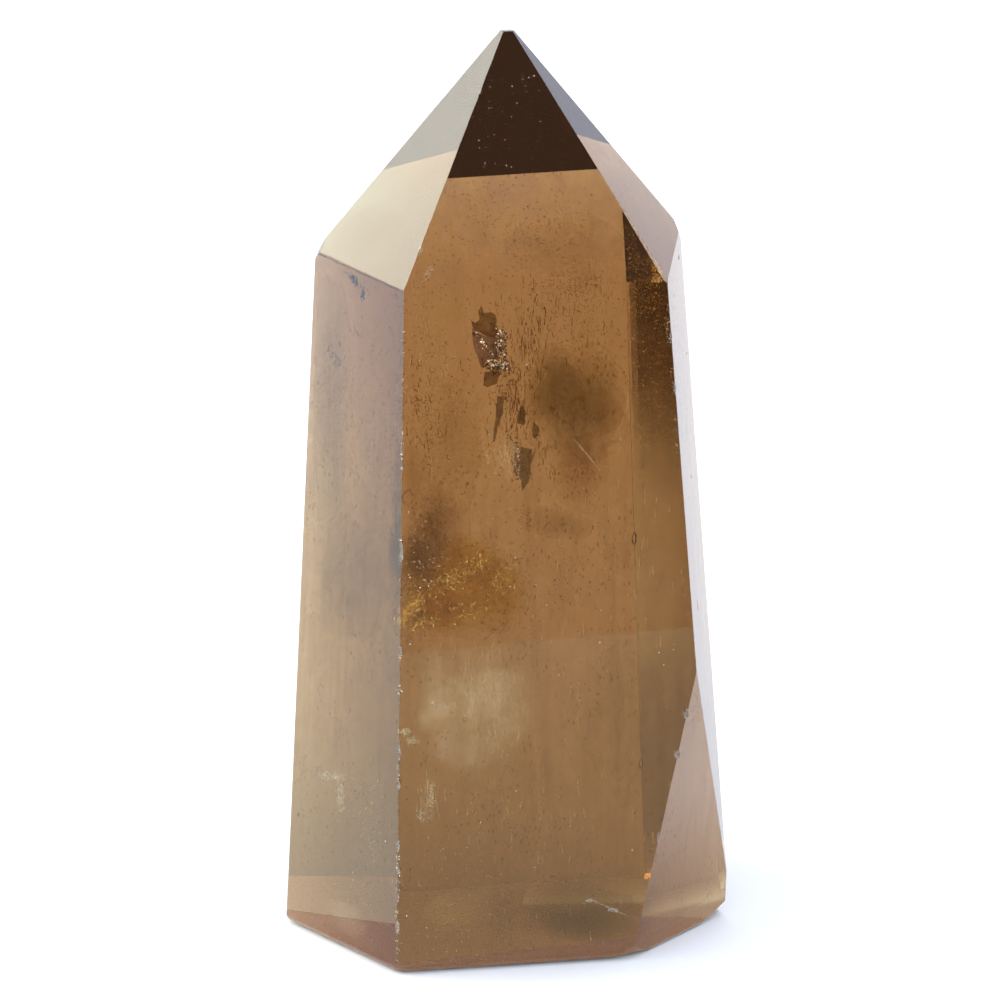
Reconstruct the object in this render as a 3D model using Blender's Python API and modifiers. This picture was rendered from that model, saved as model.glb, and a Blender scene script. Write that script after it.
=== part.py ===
"""Smoky quartz point: one six-sided crystal, ground to flat faces and polished.

The crystal is a single solid.  It stands on its sawn base with +Z up and its
front face towards -Y.  A cube is ground down by flat cuts to the prism faces,
the pyramid faces and a few small bruises; then the edges are eased and the
chips and pits are scooped out.
"""

import math
from collections import namedtuple

import bmesh
import bpy
from mathutils import Euler, Matrix, Vector
from mathutils.geometry import intersect_plane_plane

MM = 0.001

# ------------------------------------------------------------ driving dimensions
PEAK_HEIGHT = 90.0 * MM      # where the six pyramid faces would meet
TIP_HEIGHT = 89.2 * MM       # the worn tip, which is the crystal's full height
PEAK_X = -0.33 * MM          # the peak stands a little off the base's middle
PEAK_Y = 1.31 * MM
BLANK_SIZE = 200.0 * MM      # the rough cube that the faces are ground from
RIM_STEPS = 6                # flats that make the rounding of the rim
FINE_RIM = 0.5 * MM          # a rim finer than this is made with fewer flats
FINE_RIM_STEPS = 2
EDGE_EASE = 0.09 * MM        # width of the polish on every other edge
EDGE_STEPS = 2
EASED_FROM_DEG = 22.0        # edges flatter than this are left as ground
WELD = 0.02 * MM

# A ground face.  turn: degrees round the axis, 0 at the front and 90 at the right.
# lean: degrees that the face looks up.  reach: from the axis, at the base's level.
# rim: the radius that rounds the face's foot off into the sawn base.
# wear: how much more is gone at the rim's corner with the next face round.
Face = namedtuple("Face", "name turn lean reach rim wear")

PRISM_FACES = (
    Face("front_left", -50.1, 3.13, 20.33 * MM, 1.3 * MM, 0.25 * MM),
    Face("front", 9.7, 3.62, 16.34 * MM, 1.3 * MM, 0.5 * MM),
    Face("right", 80.3, 5.1, 22.28 * MM, 1.6 * MM, 0.25 * MM),
    Face("back_right", 115.06, 2.66, 18.46 * MM, 0.15 * MM, 0.08 * MM),
    Face("back", 192.25, 2.22, 15.75 * MM, 0.15 * MM, 0.08 * MM),
    Face("back_left", 255.3, 2.61, 20.35 * MM, 0.15 * MM, 0.25 * MM),
)
# A spall ground flat: it takes the lower part of the front right edge and looks down.
SPALL = Face("spall", 51.2, -5.9, 18.34 * MM, 0.6 * MM, 0.7 * MM)

# Height of the shoulder on the edge between each prism face and the next one round.
SHOULDER_HEIGHTS = (67.44 * MM, 67.32 * MM, 70.06 * MM, 70.05 * MM, 69.81 * MM, 68.82 * MM)

# A bruise: a small flat worn on a corner.  edge: the prism edge whose shoulder it is on,
# counted as above.  turn and lean: where it looks.  depth: how much of the corner is gone.
Bruise = namedtuple("Bruise", "edge turn lean depth")
BRUISES = (
    Bruise(5, -88.0, 27.0, 0.38 * MM),
    Bruise(2, 95.0, 20.0, 0.32 * MM),
)

# The worn strip on the pyramid edge between the front and the right face.
STRIP_TURN, STRIP_LEAN = 41.0, 34.0
STRIP_TOP_SHARE = 0.42       # where it runs out, from the shoulder to the peak
STRIP_DEPTH = 0.12 * MM      # at the shoulder

# Chips on the edges.  edge: the two faces that meet there.  size: along, across, deep.
Chip = namedtuple("Chip", "first second height along across deep")
CHIPS = (
    Chip("front_left", "front", 42.2 * MM, 2.4 * MM, 0.50 * MM, 0.22 * MM),
    Chip("front_left", "front", 32.6 * MM, 1.1 * MM, 0.42 * MM, 0.20 * MM),
    Chip("front_left", "front", 28.8 * MM, 0.6 * MM, 0.36 * MM, 0.20 * MM),
    Chip("front_left", "front", 22.4 * MM, 1.6 * MM, 0.50 * MM, 0.24 * MM),
    Chip("front_left", "front", 19.2 * MM, 0.9 * MM, 0.44 * MM, 0.22 * MM),
    Chip("front_left", "front", 13.2 * MM, 1.4 * MM, 0.46 * MM, 0.24 * MM),
    Chip("front_left", "front", 10.6 * MM, 0.8 * MM, 0.60 * MM, 0.26 * MM),
    Chip("front_left", "front", 8.0 * MM, 1.2 * MM, 0.50 * MM, 0.24 * MM),
    Chip("front_left", "front", 5.0 * MM, 1.5 * MM, 0.60 * MM, 0.28 * MM),
    Chip("spall", "front", 24.6 * MM, 1.0 * MM, 0.70 * MM, 0.34 * MM),
    Chip("spall", "front", 20.6 * MM, 0.9 * MM, 0.80 * MM, 0.40 * MM),
    Chip("spall", "front", 12.4 * MM, 1.3 * MM, 0.46 * MM, 0.22 * MM),
    Chip("front", "right", 62.0 * MM, 1.0 * MM, 0.36 * MM, 0.18 * MM),
    Chip("front", "right", 57.0 * MM, 1.4 * MM, 0.34 * MM, 0.16 * MM),
    Chip("right", "back_right", 50.0 * MM, 1.0 * MM, 0.36 * MM, 0.18 * MM),
    Chip("back_right", "back", 36.0 * MM, 1.5 * MM, 0.60 * MM, 0.28 * MM),
    Chip("back_right", "back", 12.0 * MM, 1.2 * MM, 0.50 * MM, 0.24 * MM),
    Chip("back", "back_left", 55.0 * MM, 1.3 * MM, 0.50 * MM, 0.24 * MM),
    Chip("back", "back_left", 24.0 * MM, 1.8 * MM, 0.56 * MM, 0.26 * MM),
    Chip("back_left", "front_left", 46.0 * MM, 1.0 * MM, 0.36 * MM, 0.18 * MM),
)

# Pits in the faces.  share: how far across the face, from its left edge to its right.
# roll: degrees that the long side is turned from upright.
Pit = namedtuple("Pit", "face share height along across deep roll")
PITS = (
    Pit("right", 0.79, 67.6 * MM, 0.55 * MM, 0.95 * MM, 0.22 * MM, 0.0),
    Pit("right", 0.35, 65.0 * MM, 0.22 * MM, 0.42 * MM, 0.16 * MM, 0.0),
    Pit("right", 0.29, 63.9 * MM, 0.20 * MM, 0.34 * MM, 0.14 * MM, 0.0),
    Pit("right", 0.84, 58.0 * MM, 0.26 * MM, 0.50 * MM, 0.16 * MM, 20.0),
    Pit("right", 0.63, 53.1 * MM, 0.18 * MM, 0.36 * MM, 0.14 * MM, 0.0),
    Pit("right", 0.56, 46.6 * MM, 0.38 * MM, 0.40 * MM, 0.18 * MM, 35.0),
    Pit("right", 0.38, 34.3 * MM, 1.30 * MM, 0.26 * MM, 0.12 * MM, 12.0),
    Pit("front", 0.61, 6.4 * MM, 0.36 * MM, 1.10 * MM, 0.16 * MM, 8.0),
    Pit("front", 0.68, 5.3 * MM, 0.46 * MM, 1.30 * MM, 0.20 * MM, 8.0),
    Pit("front_left", 0.49, 17.0 * MM, 0.30 * MM, 0.40 * MM, 0.14 * MM, 40.0),
    Pit("front_left", 0.07, 11.8 * MM, 0.60 * MM, 0.24 * MM, 0.14 * MM, 12.0),
    Pit("front_left", 0.24, 9.7 * MM, 0.30 * MM, 0.26 * MM, 0.12 * MM, 0.0),
    Pit("back", 0.30, 50.0 * MM, 0.50 * MM, 0.36 * MM, 0.16 * MM, 25.0),
    Pit("back", 0.62, 18.0 * MM, 0.44 * MM, 0.60 * MM, 0.18 * MM, 60.0),
    Pit("back_left", 0.45, 38.0 * MM, 0.40 * MM, 0.30 * MM, 0.16 * MM, 15.0),
)

QUARTZ_COLOUR = (0.36, 0.20, 0.09, 1.0)
QUARTZ_ROUGHNESS = 0.03
QUARTZ_IOR = 1.544


def empty_scene():
    """Remove every object that the open scene holds."""
    for thing in list(bpy.data.objects):
        bpy.data.objects.remove(thing, do_unlink=True)


def new_collection(name):
    """Make a collection under the scene's own."""
    group = bpy.data.collections.new(name)
    bpy.context.scene.collection.children.link(group)
    return group


def quartz_material():
    """Clear smoky quartz: a plain transmitting surface, tinted brown."""
    quartz = bpy.data.materials.new("smoky_quartz")
    quartz.use_nodes = True
    shader = quartz.node_tree.nodes["Principled BSDF"]
    shader.inputs["Base Color"].default_value = QUARTZ_COLOUR
    shader.inputs["Roughness"].default_value = QUARTZ_ROUGHNESS
    shader.inputs["Metallic"].default_value = 0.0
    shader.inputs["IOR"].default_value = QUARTZ_IOR
    shader.inputs["Transmission Weight"].default_value = 1.0
    return quartz


def outward(turn, lean):
    """The direction that a face with this turn and lean looks in."""
    turn_angle = math.radians(turn)
    lean_angle = math.radians(lean)
    flat = math.cos(lean_angle)
    return Vector((math.sin(turn_angle) * flat, -math.cos(turn_angle) * flat, math.sin(lean_angle)))


def foot(face):
    """The point of a face straight out from the axis, at the base's level."""
    return outward(face.turn, 0.0) * face.reach


def face_named(name):
    """Look a prism face or the spall up by its name."""
    for face in PRISM_FACES + (SPALL,):
        if face.name == name:
            return face
    raise KeyError(name)


def turn_after(face, after):
    """The next face's turn, counted on round the axis from this face's."""
    return face.turn + (after.turn - face.turn) % 360.0


def edge_point(first, second, height):
    """The point at a height on the edge where two faces meet."""
    start, along = intersect_plane_plane(
        foot(first), outward(first.turn, first.lean),
        foot(second), outward(second.turn, second.lean))
    return start + along * ((height - start.z) / along.z)


def shoulder(number):
    """The corner at the top of the edge between a prism face and the next one round."""
    first = PRISM_FACES[number]
    second = PRISM_FACES[(number + 1) % len(PRISM_FACES)]
    return edge_point(first, second, SHOULDER_HEIGHTS[number])


def face_point(face, share, height):
    """A point on a prism face, a share of the way from its left edge to its right."""
    number = PRISM_FACES.index(face)
    left = edge_point(PRISM_FACES[number - 1], face, height)
    right = edge_point(face, PRISM_FACES[(number + 1) % len(PRISM_FACES)], height)
    return left.lerp(right, share)


def grind(crystal, point, direction):
    """Grind everything beyond a plane away and close the cut with one flat face."""
    everything = crystal.verts[:] + crystal.edges[:] + crystal.faces[:]
    cut = bmesh.ops.bisect_plane(
        crystal, geom=everything, dist=0.001 * MM, plane_co=point, plane_no=direction,
        clear_outer=True)
    rim = [part for part in cut["geom_cut"] if isinstance(part, bmesh.types.BMEdge)]
    if rim:
        bmesh.ops.contextual_create(crystal, geom=rim)


def grind_prism(crystal):
    """Grind the six prism faces, and the spall low on the front right edge."""
    for face in PRISM_FACES + (SPALL,):
        grind(crystal, foot(face), outward(face.turn, face.lean))


def grind_pyramid(crystal):
    """Grind the six pyramid faces, each through the peak and two shoulder corners."""
    peak = Vector((PEAK_X, PEAK_Y, PEAK_HEIGHT))
    for number in range(len(PRISM_FACES)):
        left = shoulder(number - 1)
        right = shoulder(number)
        looks = (right - left).cross(peak - left).normalized()
        grind(crystal, peak, looks)
    grind(crystal, Vector((0.0, 0.0, TIP_HEIGHT)), Vector((0.0, 0.0, 1.0)))


def grind_bruises(crystal):
    """Grind the small flats worn on the shoulders and on one pyramid edge."""
    for bruise in BRUISES:
        looks = outward(bruise.turn, bruise.lean)
        grind(crystal, shoulder(bruise.edge) - looks * bruise.depth, looks)
    corner = shoulder(1)
    run_out = corner.lerp(Vector((PEAK_X, PEAK_Y, PEAK_HEIGHT)), STRIP_TOP_SHARE)
    looks = outward(STRIP_TURN, STRIP_LEAN)
    along = run_out - (corner - looks * STRIP_DEPTH)
    across = along.cross(looks)
    grind(crystal, run_out, across.cross(along).normalized())


def rim_flats(crystal, corner, turn, radius, extra):
    """Grind the flats that round one stretch or one corner of the rim."""
    steps = RIM_STEPS if radius > FINE_RIM else FINE_RIM_STEPS
    for step in range(steps):
        tilt = 90.0 * (step + 0.5) / steps
        looks = outward(turn, -tilt)
        round_off = math.cos(math.radians(tilt)) + math.sin(math.radians(tilt)) - 1.0
        depth = radius * round_off + extra * math.sin(math.radians(2.0 * tilt))
        grind(crystal, corner - looks * depth, looks)


def round_rim(crystal):
    """Round the rim between the sawn base and the faces round it, and its corners."""
    ring = PRISM_FACES[:2] + (SPALL,) + PRISM_FACES[2:]
    for number, face in enumerate(ring):
        after = ring[(number + 1) % len(ring)]
        corner = edge_point(face, after, 0.0)
        turn_between = (face.turn + turn_after(face, after)) / 2
        rim_flats(crystal, corner, face.turn, face.rim, 0.0)
        rim_flats(crystal, corner, turn_between, (face.rim + after.rim) / 2, face.wear)


def stand_on_origin(crystal):
    """Shift the crystal so that its box stands over the origin."""
    low = [min(corner.co[axis] for corner in crystal.verts) for axis in range(3)]
    high = [max(corner.co[axis] for corner in crystal.verts) for axis in range(3)]
    middle = Vector(((low[0] + high[0]) / 2, (low[1] + high[1]) / 2, low[2]))
    bmesh.ops.translate(crystal, vec=-middle, verts=crystal.verts)
    return -middle


def build_blank(group):
    """Grind the whole crystal.

    Returns the object, and the shift that stands it over the origin."""
    crystal = bmesh.new()
    bmesh.ops.create_cube(crystal, size=BLANK_SIZE)
    grind(crystal, Vector((0.0, 0.0, 0.0)), Vector((0.0, 0.0, -1.0)))
    grind_prism(crystal)
    grind_pyramid(crystal)
    grind_bruises(crystal)
    round_rim(crystal)
    bmesh.ops.remove_doubles(crystal, verts=crystal.verts, dist=WELD)
    bmesh.ops.recalc_face_normals(crystal, faces=crystal.faces)
    shift = stand_on_origin(crystal)
    mesh = bpy.data.meshes.new("quartz_point")
    crystal.to_mesh(mesh)
    crystal.free()
    point = bpy.data.objects.new("quartz_point", mesh)
    group.objects.link(point)
    return point, shift


def ease_edges(point):
    """Ease the ground edges with a narrow bevel."""
    ease = point.modifiers.new("eased_edges", "BEVEL")
    ease.width = EDGE_EASE
    ease.segments = EDGE_STEPS
    ease.limit_method = "ANGLE"
    ease.angle_limit = math.radians(EASED_FROM_DEG)
    ease.use_clamp_overlap = True


def upright_frame(looks, roll=0.0):
    """Axes on a face: X across it, Y out of it and Z up along it, rolled by an angle."""
    across = Vector((0.0, 0.0, 1.0)).cross(looks).normalized()
    up = looks.cross(across).normalized()
    axes = Matrix((across, looks, up)).transposed().to_4x4()
    return axes @ Euler((0.0, math.radians(roll), 0.0)).to_matrix().to_4x4()


def add_scoop(cutter, place, axes, along, across, deep):
    """Add one rounded scoop to the cutter mesh: an egg half sunk in the surface."""
    scale = Matrix.Diagonal((across / 2, deep, along / 2, 1.0))
    bmesh.ops.create_icosphere(
        cutter, subdivisions=1, radius=1.0, matrix=Matrix.Translation(place) @ axes @ scale)


def scoop_chips_and_pits(point, shift, group):
    """Scoop the chips out of the edges and the pits out of the faces."""
    cutter = bmesh.new()
    for chip in CHIPS:
        first = face_named(chip.first)
        second = face_named(chip.second)
        place = edge_point(first, second, chip.height) + shift
        looks = outward(first.turn, first.lean) + outward(second.turn, second.lean)
        axes = upright_frame(looks.normalized())
        add_scoop(cutter, place, axes, chip.along, chip.across, chip.deep)
    for pit in PITS:
        face = face_named(pit.face)
        place = face_point(face, pit.share, pit.height) + shift
        axes = upright_frame(outward(face.turn, face.lean), pit.roll)
        add_scoop(cutter, place, axes, pit.along, pit.across, pit.deep)
    bmesh.ops.recalc_face_normals(cutter, faces=cutter.faces)
    mesh = bpy.data.meshes.new("scoops")
    cutter.to_mesh(mesh)
    cutter.free()
    scoops = bpy.data.objects.new("scoops", mesh)
    scoops.hide_render = True
    scoops.display_type = "WIRE"
    group.objects.link(scoops)
    cut = point.modifiers.new("chips_and_pits", "BOOLEAN")
    cut.operation = "DIFFERENCE"
    cut.solver = "EXACT"
    cut.object = scoops


def main():
    """Build the crystal."""
    empty_scene()
    parts = new_collection("smoky_quartz_point")
    cutters = new_collection("cutters")
    point, shift = build_blank(parts)
    ease_edges(point)
    scoop_chips_and_pits(point, shift, cutters)
    point.data.materials.append(quartz_material())


main()
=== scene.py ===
"""The looks of a smoky quartz point: the polished crystal, and all that is locked inside it.

The crystal is one clear brown solid with true refraction and absorption.  Inside it lies what
makes each smoky quartz its own: dark angular fissures, smoky clouds, a gold healed fracture,
milky veils, some of them a painted reflection of the pale floor as well, needles and thousands
of specks.  They are all separate pieces.

Places are columns and rows of the square frame, in pixels, with depths in millimetres along the
bent line of sight.  Shapes are in metres, where no comment says otherwise, and angles in degrees.
"""

import logging
import math
from dataclasses import dataclass, field
from enum import Enum, IntEnum

import bmesh
import bpy
import numpy as np
from mathutils import Euler, Matrix, Quaternion, Vector, noise
from mathutils.bvhtree import BVHTree
from mathutils.geometry import convex_hull_2d, delaunay_2d_cdt


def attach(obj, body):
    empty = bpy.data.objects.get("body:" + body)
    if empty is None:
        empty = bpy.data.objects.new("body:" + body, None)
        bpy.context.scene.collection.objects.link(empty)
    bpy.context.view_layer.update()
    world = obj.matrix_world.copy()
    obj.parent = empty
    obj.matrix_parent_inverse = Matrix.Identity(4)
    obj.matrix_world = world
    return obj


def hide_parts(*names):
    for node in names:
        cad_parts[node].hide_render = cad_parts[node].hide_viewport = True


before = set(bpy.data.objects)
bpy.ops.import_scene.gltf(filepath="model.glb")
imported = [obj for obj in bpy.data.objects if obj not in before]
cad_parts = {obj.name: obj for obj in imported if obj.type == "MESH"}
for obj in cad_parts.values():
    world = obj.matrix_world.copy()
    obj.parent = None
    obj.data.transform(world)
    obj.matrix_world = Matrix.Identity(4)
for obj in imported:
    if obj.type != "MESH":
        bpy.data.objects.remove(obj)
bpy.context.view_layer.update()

MM = 0.001
NODE = "quartz_point"
FRAME_SIDE = 1000.0          # pixels along each side of the frame
QUARTZ_IOR = 1.544
FRONT_TURN = 9.7             # which way the front face looks, in degrees from -Y
FRONT_LEFT_TURN = -50.1
SIDES_LEAN = -3.6            # how the sides lean inwards
SAME_WAY = 0.9995            # the cosine above which two normals count as one
Colour = tuple[float, float, float]
BODY_ABSORBS: Colour = (51.0, 79.0, 121.0)       # of red, green and blue light, per metre
WHITE: Colour = (1.0, 1.0, 1.0)
OPAQUE = (1.0, 1.0)

log = logging.getLogger("smoky_quartz")


# ------------------------------------------------------------------ node helpers
class Graph:
    """Lays and wires the nodes of one node tree."""

    def __init__(self, tree: bpy.types.NodeTree) -> None:
        """Work on this tree."""
        self.tree = tree

    def feed(self, node: bpy.types.Node, inputs: dict) -> None:
        """Set a node's inputs.

        Args:
            node: the node.
            inputs: values, or sockets to wire in, by input name or number.
        """
        for name, value in inputs.items():
            if isinstance(value, bpy.types.NodeSocket):
                self.tree.links.new(value, node.inputs[name])
            else:
                node.inputs[name].default_value = value

    def add(self, kind: str, inputs: dict | None = None, **settings: object) -> bpy.types.Node:
        """Add a node.

        Args:
            kind: the node's type name.
            inputs: values, or sockets to wire in, by input name or number.
            settings: properties of the node itself.
        Returns:
            The new node.
        """
        node = self.tree.nodes.new(kind)
        for name, value in settings.items():
            setattr(node, name, value)
        self.feed(node, inputs or {})
        return node

    def math(self, operation: str, first: object, second: object = 0.0) -> bpy.types.NodeSocket:
        """Combine two numbers or sockets and return the result's socket."""
        return self.add("ShaderNodeMath", {0: first, 1: second}, operation=operation).outputs[0]

    def spread(self, value: bpy.types.NodeSocket, low: float, high: float,
               to_low: object = 0.0, to_high: object = 1.0) -> bpy.types.NodeSocket:
        """Map a value's range smoothly onto another one.

        Args:
            value: the socket to map.
            low: the value that becomes to_low.
            high: the value that becomes to_high.
            to_low: a number or socket.
            to_high: a number or socket.
        Returns:
            The mapped socket.
        """
        inputs = {"Value": value, "From Min": low, "From Max": high, "To Min": to_low, "To Max": to_high}
        node = self.add("ShaderNodeMapRange", inputs, interpolation_type="SMOOTHSTEP")
        return node.outputs["Result"]

    def between(self, value: bpy.types.NodeSocket, given: bpy.types.Node) -> bpy.types.NodeSocket:
        """Where a value lies between a group's Low and High inputs, from 0 to 1."""
        limits = {"From Min": given.outputs["Low"], "From Max": given.outputs["High"]}
        return self.add("ShaderNodeMapRange", {"Value": value, **limits}).outputs["Result"]

    def blend(self, share: bpy.types.NodeSocket, first: object, second: object) -> bpy.types.NodeSocket:
        """Mix two colours.

        Args:
            share: how much of the second one there is.
            first: a colour or socket.
            second: a colour or socket.
        Returns:
            The mixed colour's socket.
        """
        ends = [end if isinstance(end, bpy.types.NodeSocket) else (*end, 1.0) for end in (first, second)]
        inputs = {"Factor": share, 6: ends[0], 7: ends[1]}
        return self.add("ShaderNodeMix", inputs, data_type="RGBA").outputs[2]

    def place(self) -> bpy.types.NodeSocket:
        """The object's own coordinates."""
        return self.add("ShaderNodeTexCoord").outputs["Object"]

    def along(self, axis: str) -> bpy.types.NodeSocket:
        """One of the object's own coordinates, such as Z."""
        return self.add("ShaderNodeSeparateXYZ", {0: self.place()}).outputs[axis]

    def cosine(self, way: bpy.types.NodeSocket, towards: Colour) -> bpy.types.NodeSocket:
        """The cosine of the angle between a unit vector and a fixed one."""
        inputs = {0: way, 1: towards}
        return self.add("ShaderNodeVectorMath", inputs, operation="DOT_PRODUCT").outputs["Value"]

    def noise(self, scale: object, detail: float = 3.0, stretch: Colour = (1.0, 1.0, 1.0),
              warp: float = 0.0) -> bpy.types.NodeSocket:
        """Noise over the object's own coordinates, in cells per metre, closer where stretch is larger."""
        inputs = {"Vector": self.stretched(stretch), "Scale": scale, "Detail": detail, "Distortion": warp}
        return self.add("ShaderNodeTexNoise", inputs).outputs["Fac"]

    def stretched(self, stretch: Colour) -> bpy.types.NodeSocket:
        """The object's own coordinates, scaled along each axis."""
        inputs = {0: self.place(), 1: stretch}
        return self.add("ShaderNodeVectorMath", inputs, operation="MULTIPLY").outputs["Vector"]

    def bump(self, height: bpy.types.NodeSocket, strength: float, relief: float) -> bpy.types.NodeSocket:
        """The normal of a surface with this relief, in metres."""
        inputs = {"Height": height, "Strength": strength, "Distance": relief}
        return self.add("ShaderNodeBump", inputs).outputs["Normal"]


class Effect:
    """A shader effect that several finishes share, kept as one node group."""

    name = ""
    numbers_in: tuple[tuple[str, float], ...] = ()
    numbers_out: tuple[str, ...] = ()

    @classmethod
    def tree(cls) -> bpy.types.NodeTree:
        """Give the effect's node group, built the first time that it is asked for.

        Returns:
            The node group.
        """
        made = bpy.data.node_groups.get(cls.name)
        if made is not None:
            return made
        made = bpy.data.node_groups.new(cls.name, "ShaderNodeTree")
        for label, value in cls.numbers_in:
            socket = made.interface.new_socket(label, in_out="INPUT", socket_type="NodeSocketFloat")
            socket.default_value = value
        for label in cls.numbers_out:
            made.interface.new_socket(label, in_out="OUTPUT", socket_type="NodeSocketFloat")
        graph = Graph(made)
        given = graph.add("NodeGroupInput")
        graph.feed(graph.add("NodeGroupOutput"), cls.results(graph, given))
        return made

    @classmethod
    def results(cls, graph: Graph, given: bpy.types.Node) -> dict[str, bpy.types.NodeSocket]:
        """Lay the effect's own nodes, and give a socket for each of the group's outputs."""
        raise NotImplementedError

    @classmethod
    def place(cls, graph: Graph, **values: float) -> bpy.types.Node:
        """Put the effect into a material's tree, with its inputs' names spelled with _ for a space."""
        inputs = {label.replace("_", " "): value for label, value in values.items()}
        return graph.add("ShaderNodeGroup", inputs, node_tree=cls.tree())


class PolishWear(Effect):
    """Fine lines and smudges that the polishing wheel and fingers left on a surface."""

    name = "polish_wear"
    numbers_in = (("Line Scale", 900.0), ("Smudge Scale", 90.0), ("Smooth", 0.01), ("Worn", 0.05))
    numbers_out = ("Roughness", "Height")

    @classmethod
    def results(cls, graph: Graph, given: bpy.types.Node) -> dict[str, bpy.types.NodeSocket]:
        """Lay lines that run across the crystal, and smudges that lie anywhere.

        Args:
            graph: the group's graph.
            given: the group's inputs.
        Returns:
            The Roughness and Height sockets.
        """
        lines = graph.noise(given.outputs["Line Scale"], 2.0, (0.25, 0.25, 1.6))
        smudges = graph.noise(given.outputs["Smudge Scale"], 4.0, warp=0.6)
        worn = graph.spread(smudges, 0.46, 0.74)
        rough = graph.spread(worn, 0.0, 1.0, given.outputs["Smooth"], given.outputs["Worn"])
        return {"Roughness": rough, "Height": graph.math("ADD", lines, graph.math("MULTIPLY", smudges, 0.5))}


class GrowthStreaks(Effect):
    """Faint upright streaks, as the crystal grew."""

    name = "growth_streaks"
    numbers_in = (("Scale", 420.0), ("Low", 0.4), ("High", 0.7))
    numbers_out = ("Mask",)

    @classmethod
    def results(cls, graph: Graph, given: bpy.types.Node) -> dict[str, bpy.types.NodeSocket]:
        """Lay noise drawn out along the crystal, broken up by a coarser one.

        Args:
            graph: the group's graph.
            given: the group's inputs.
        Returns:
            The Mask socket.
        """
        scale = given.outputs["Scale"]
        fine = graph.noise(scale, 4.0, (1.0, 1.0, 0.06), warp=0.3)
        coarse = graph.noise(graph.math("MULTIPLY", scale, 0.22), 3.0, (1.0, 1.0, 0.5))
        both = graph.math("MULTIPLY", fine, graph.math("ADD", coarse, 0.5))
        return {"Mask": graph.between(both, given)}


class Mottle(Effect):
    """Cloudy patches, from soft to crisp."""

    name = "mottle"
    numbers_in = (("Scale", 200.0), ("Low", 0.35), ("High", 0.65))
    numbers_out = ("Mask", "Height")

    @classmethod
    def results(cls, graph: Graph, given: bpy.types.Node) -> dict[str, bpy.types.NodeSocket]:
        """Lay warped noise between two limits, for the Mask and Height sockets."""
        patches = graph.noise(given.outputs["Scale"], 6.0, warp=0.8)
        return {"Mask": graph.between(patches, given), "Height": patches}


class Flecks(Effect):
    """Tiny separate dots and dashes, a few in each cell of a fine grid."""

    name = "flecks"
    numbers_in = (("Scale", 900.0), ("Reach", 0.2), ("Few", 0.5))
    numbers_out = ("Mask",)

    @classmethod
    def results(cls, graph: Graph, given: bpy.types.Node) -> dict[str, bpy.types.NodeSocket]:
        """Lay the middles of uneven cells, kept only where a coarse noise is high.

        Args:
            graph: the group's graph.
            given: the group's inputs.
        Returns:
            The Mask socket.
        """
        scale = given.outputs["Scale"]
        inputs = {"Vector": graph.stretched((1.0, 1.0, 0.55)), "Scale": scale, "Randomness": 1.0}
        cells = graph.add("ShaderNodeTexVoronoi", inputs)
        near = graph.math("LESS_THAN", cells.outputs["Distance"], given.outputs["Reach"])
        coarse = graph.noise(graph.math("MULTIPLY", scale, 0.11), 4.0)
        kept = graph.math("GREATER_THAN", coarse, given.outputs["Few"])
        return {"Mask": graph.math("MULTIPLY", near, kept)}


# ------------------------------------------------------------------ finishes
def blank_material(name: str) -> tuple[bpy.types.Material, Graph, bpy.types.Node]:
    """Start a material.

    Args:
        name: the material's name.
    Returns:
        The material, its graph and its Principled shader.
    """
    material = bpy.data.materials.new(name)
    material.use_nodes = True
    graph = Graph(material.node_tree)
    return material, graph, material.node_tree.nodes["Principled BSDF"]


def absorb(graph: Graph, per_metre: Colour) -> None:
    """Fill a material's inside with plain absorption.

    Args:
        graph: the material's graph.
        per_metre: how strongly red, green and blue are taken up, per metre.
    """
    density = max(per_metre) * 1.05
    tint = tuple(1.0 - amount / density for amount in per_metre)
    volume = graph.add("ShaderNodeVolumeAbsorption", {"Color": (*tint, 1.0), "Density": density})
    graph.feed(graph.tree.nodes["Material Output"], {"Volume": volume.outputs["Volume"]})


@dataclass(frozen=True)
class Finish:
    """A finish of the crystal, or of something in it."""

    name: str

    def dress(self, graph: Graph, shader: bpy.types.Node) -> None:
        """Lay the finish's own nodes in a new material's graph, and feed its Principled shader."""
        raise NotImplementedError

    def material(self) -> bpy.types.Material:
        """Build the finish's material.

        Returns:
            The new material.
        """
        material, graph, shader = blank_material(self.name)
        self.dress(graph, shader)
        return material


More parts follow.
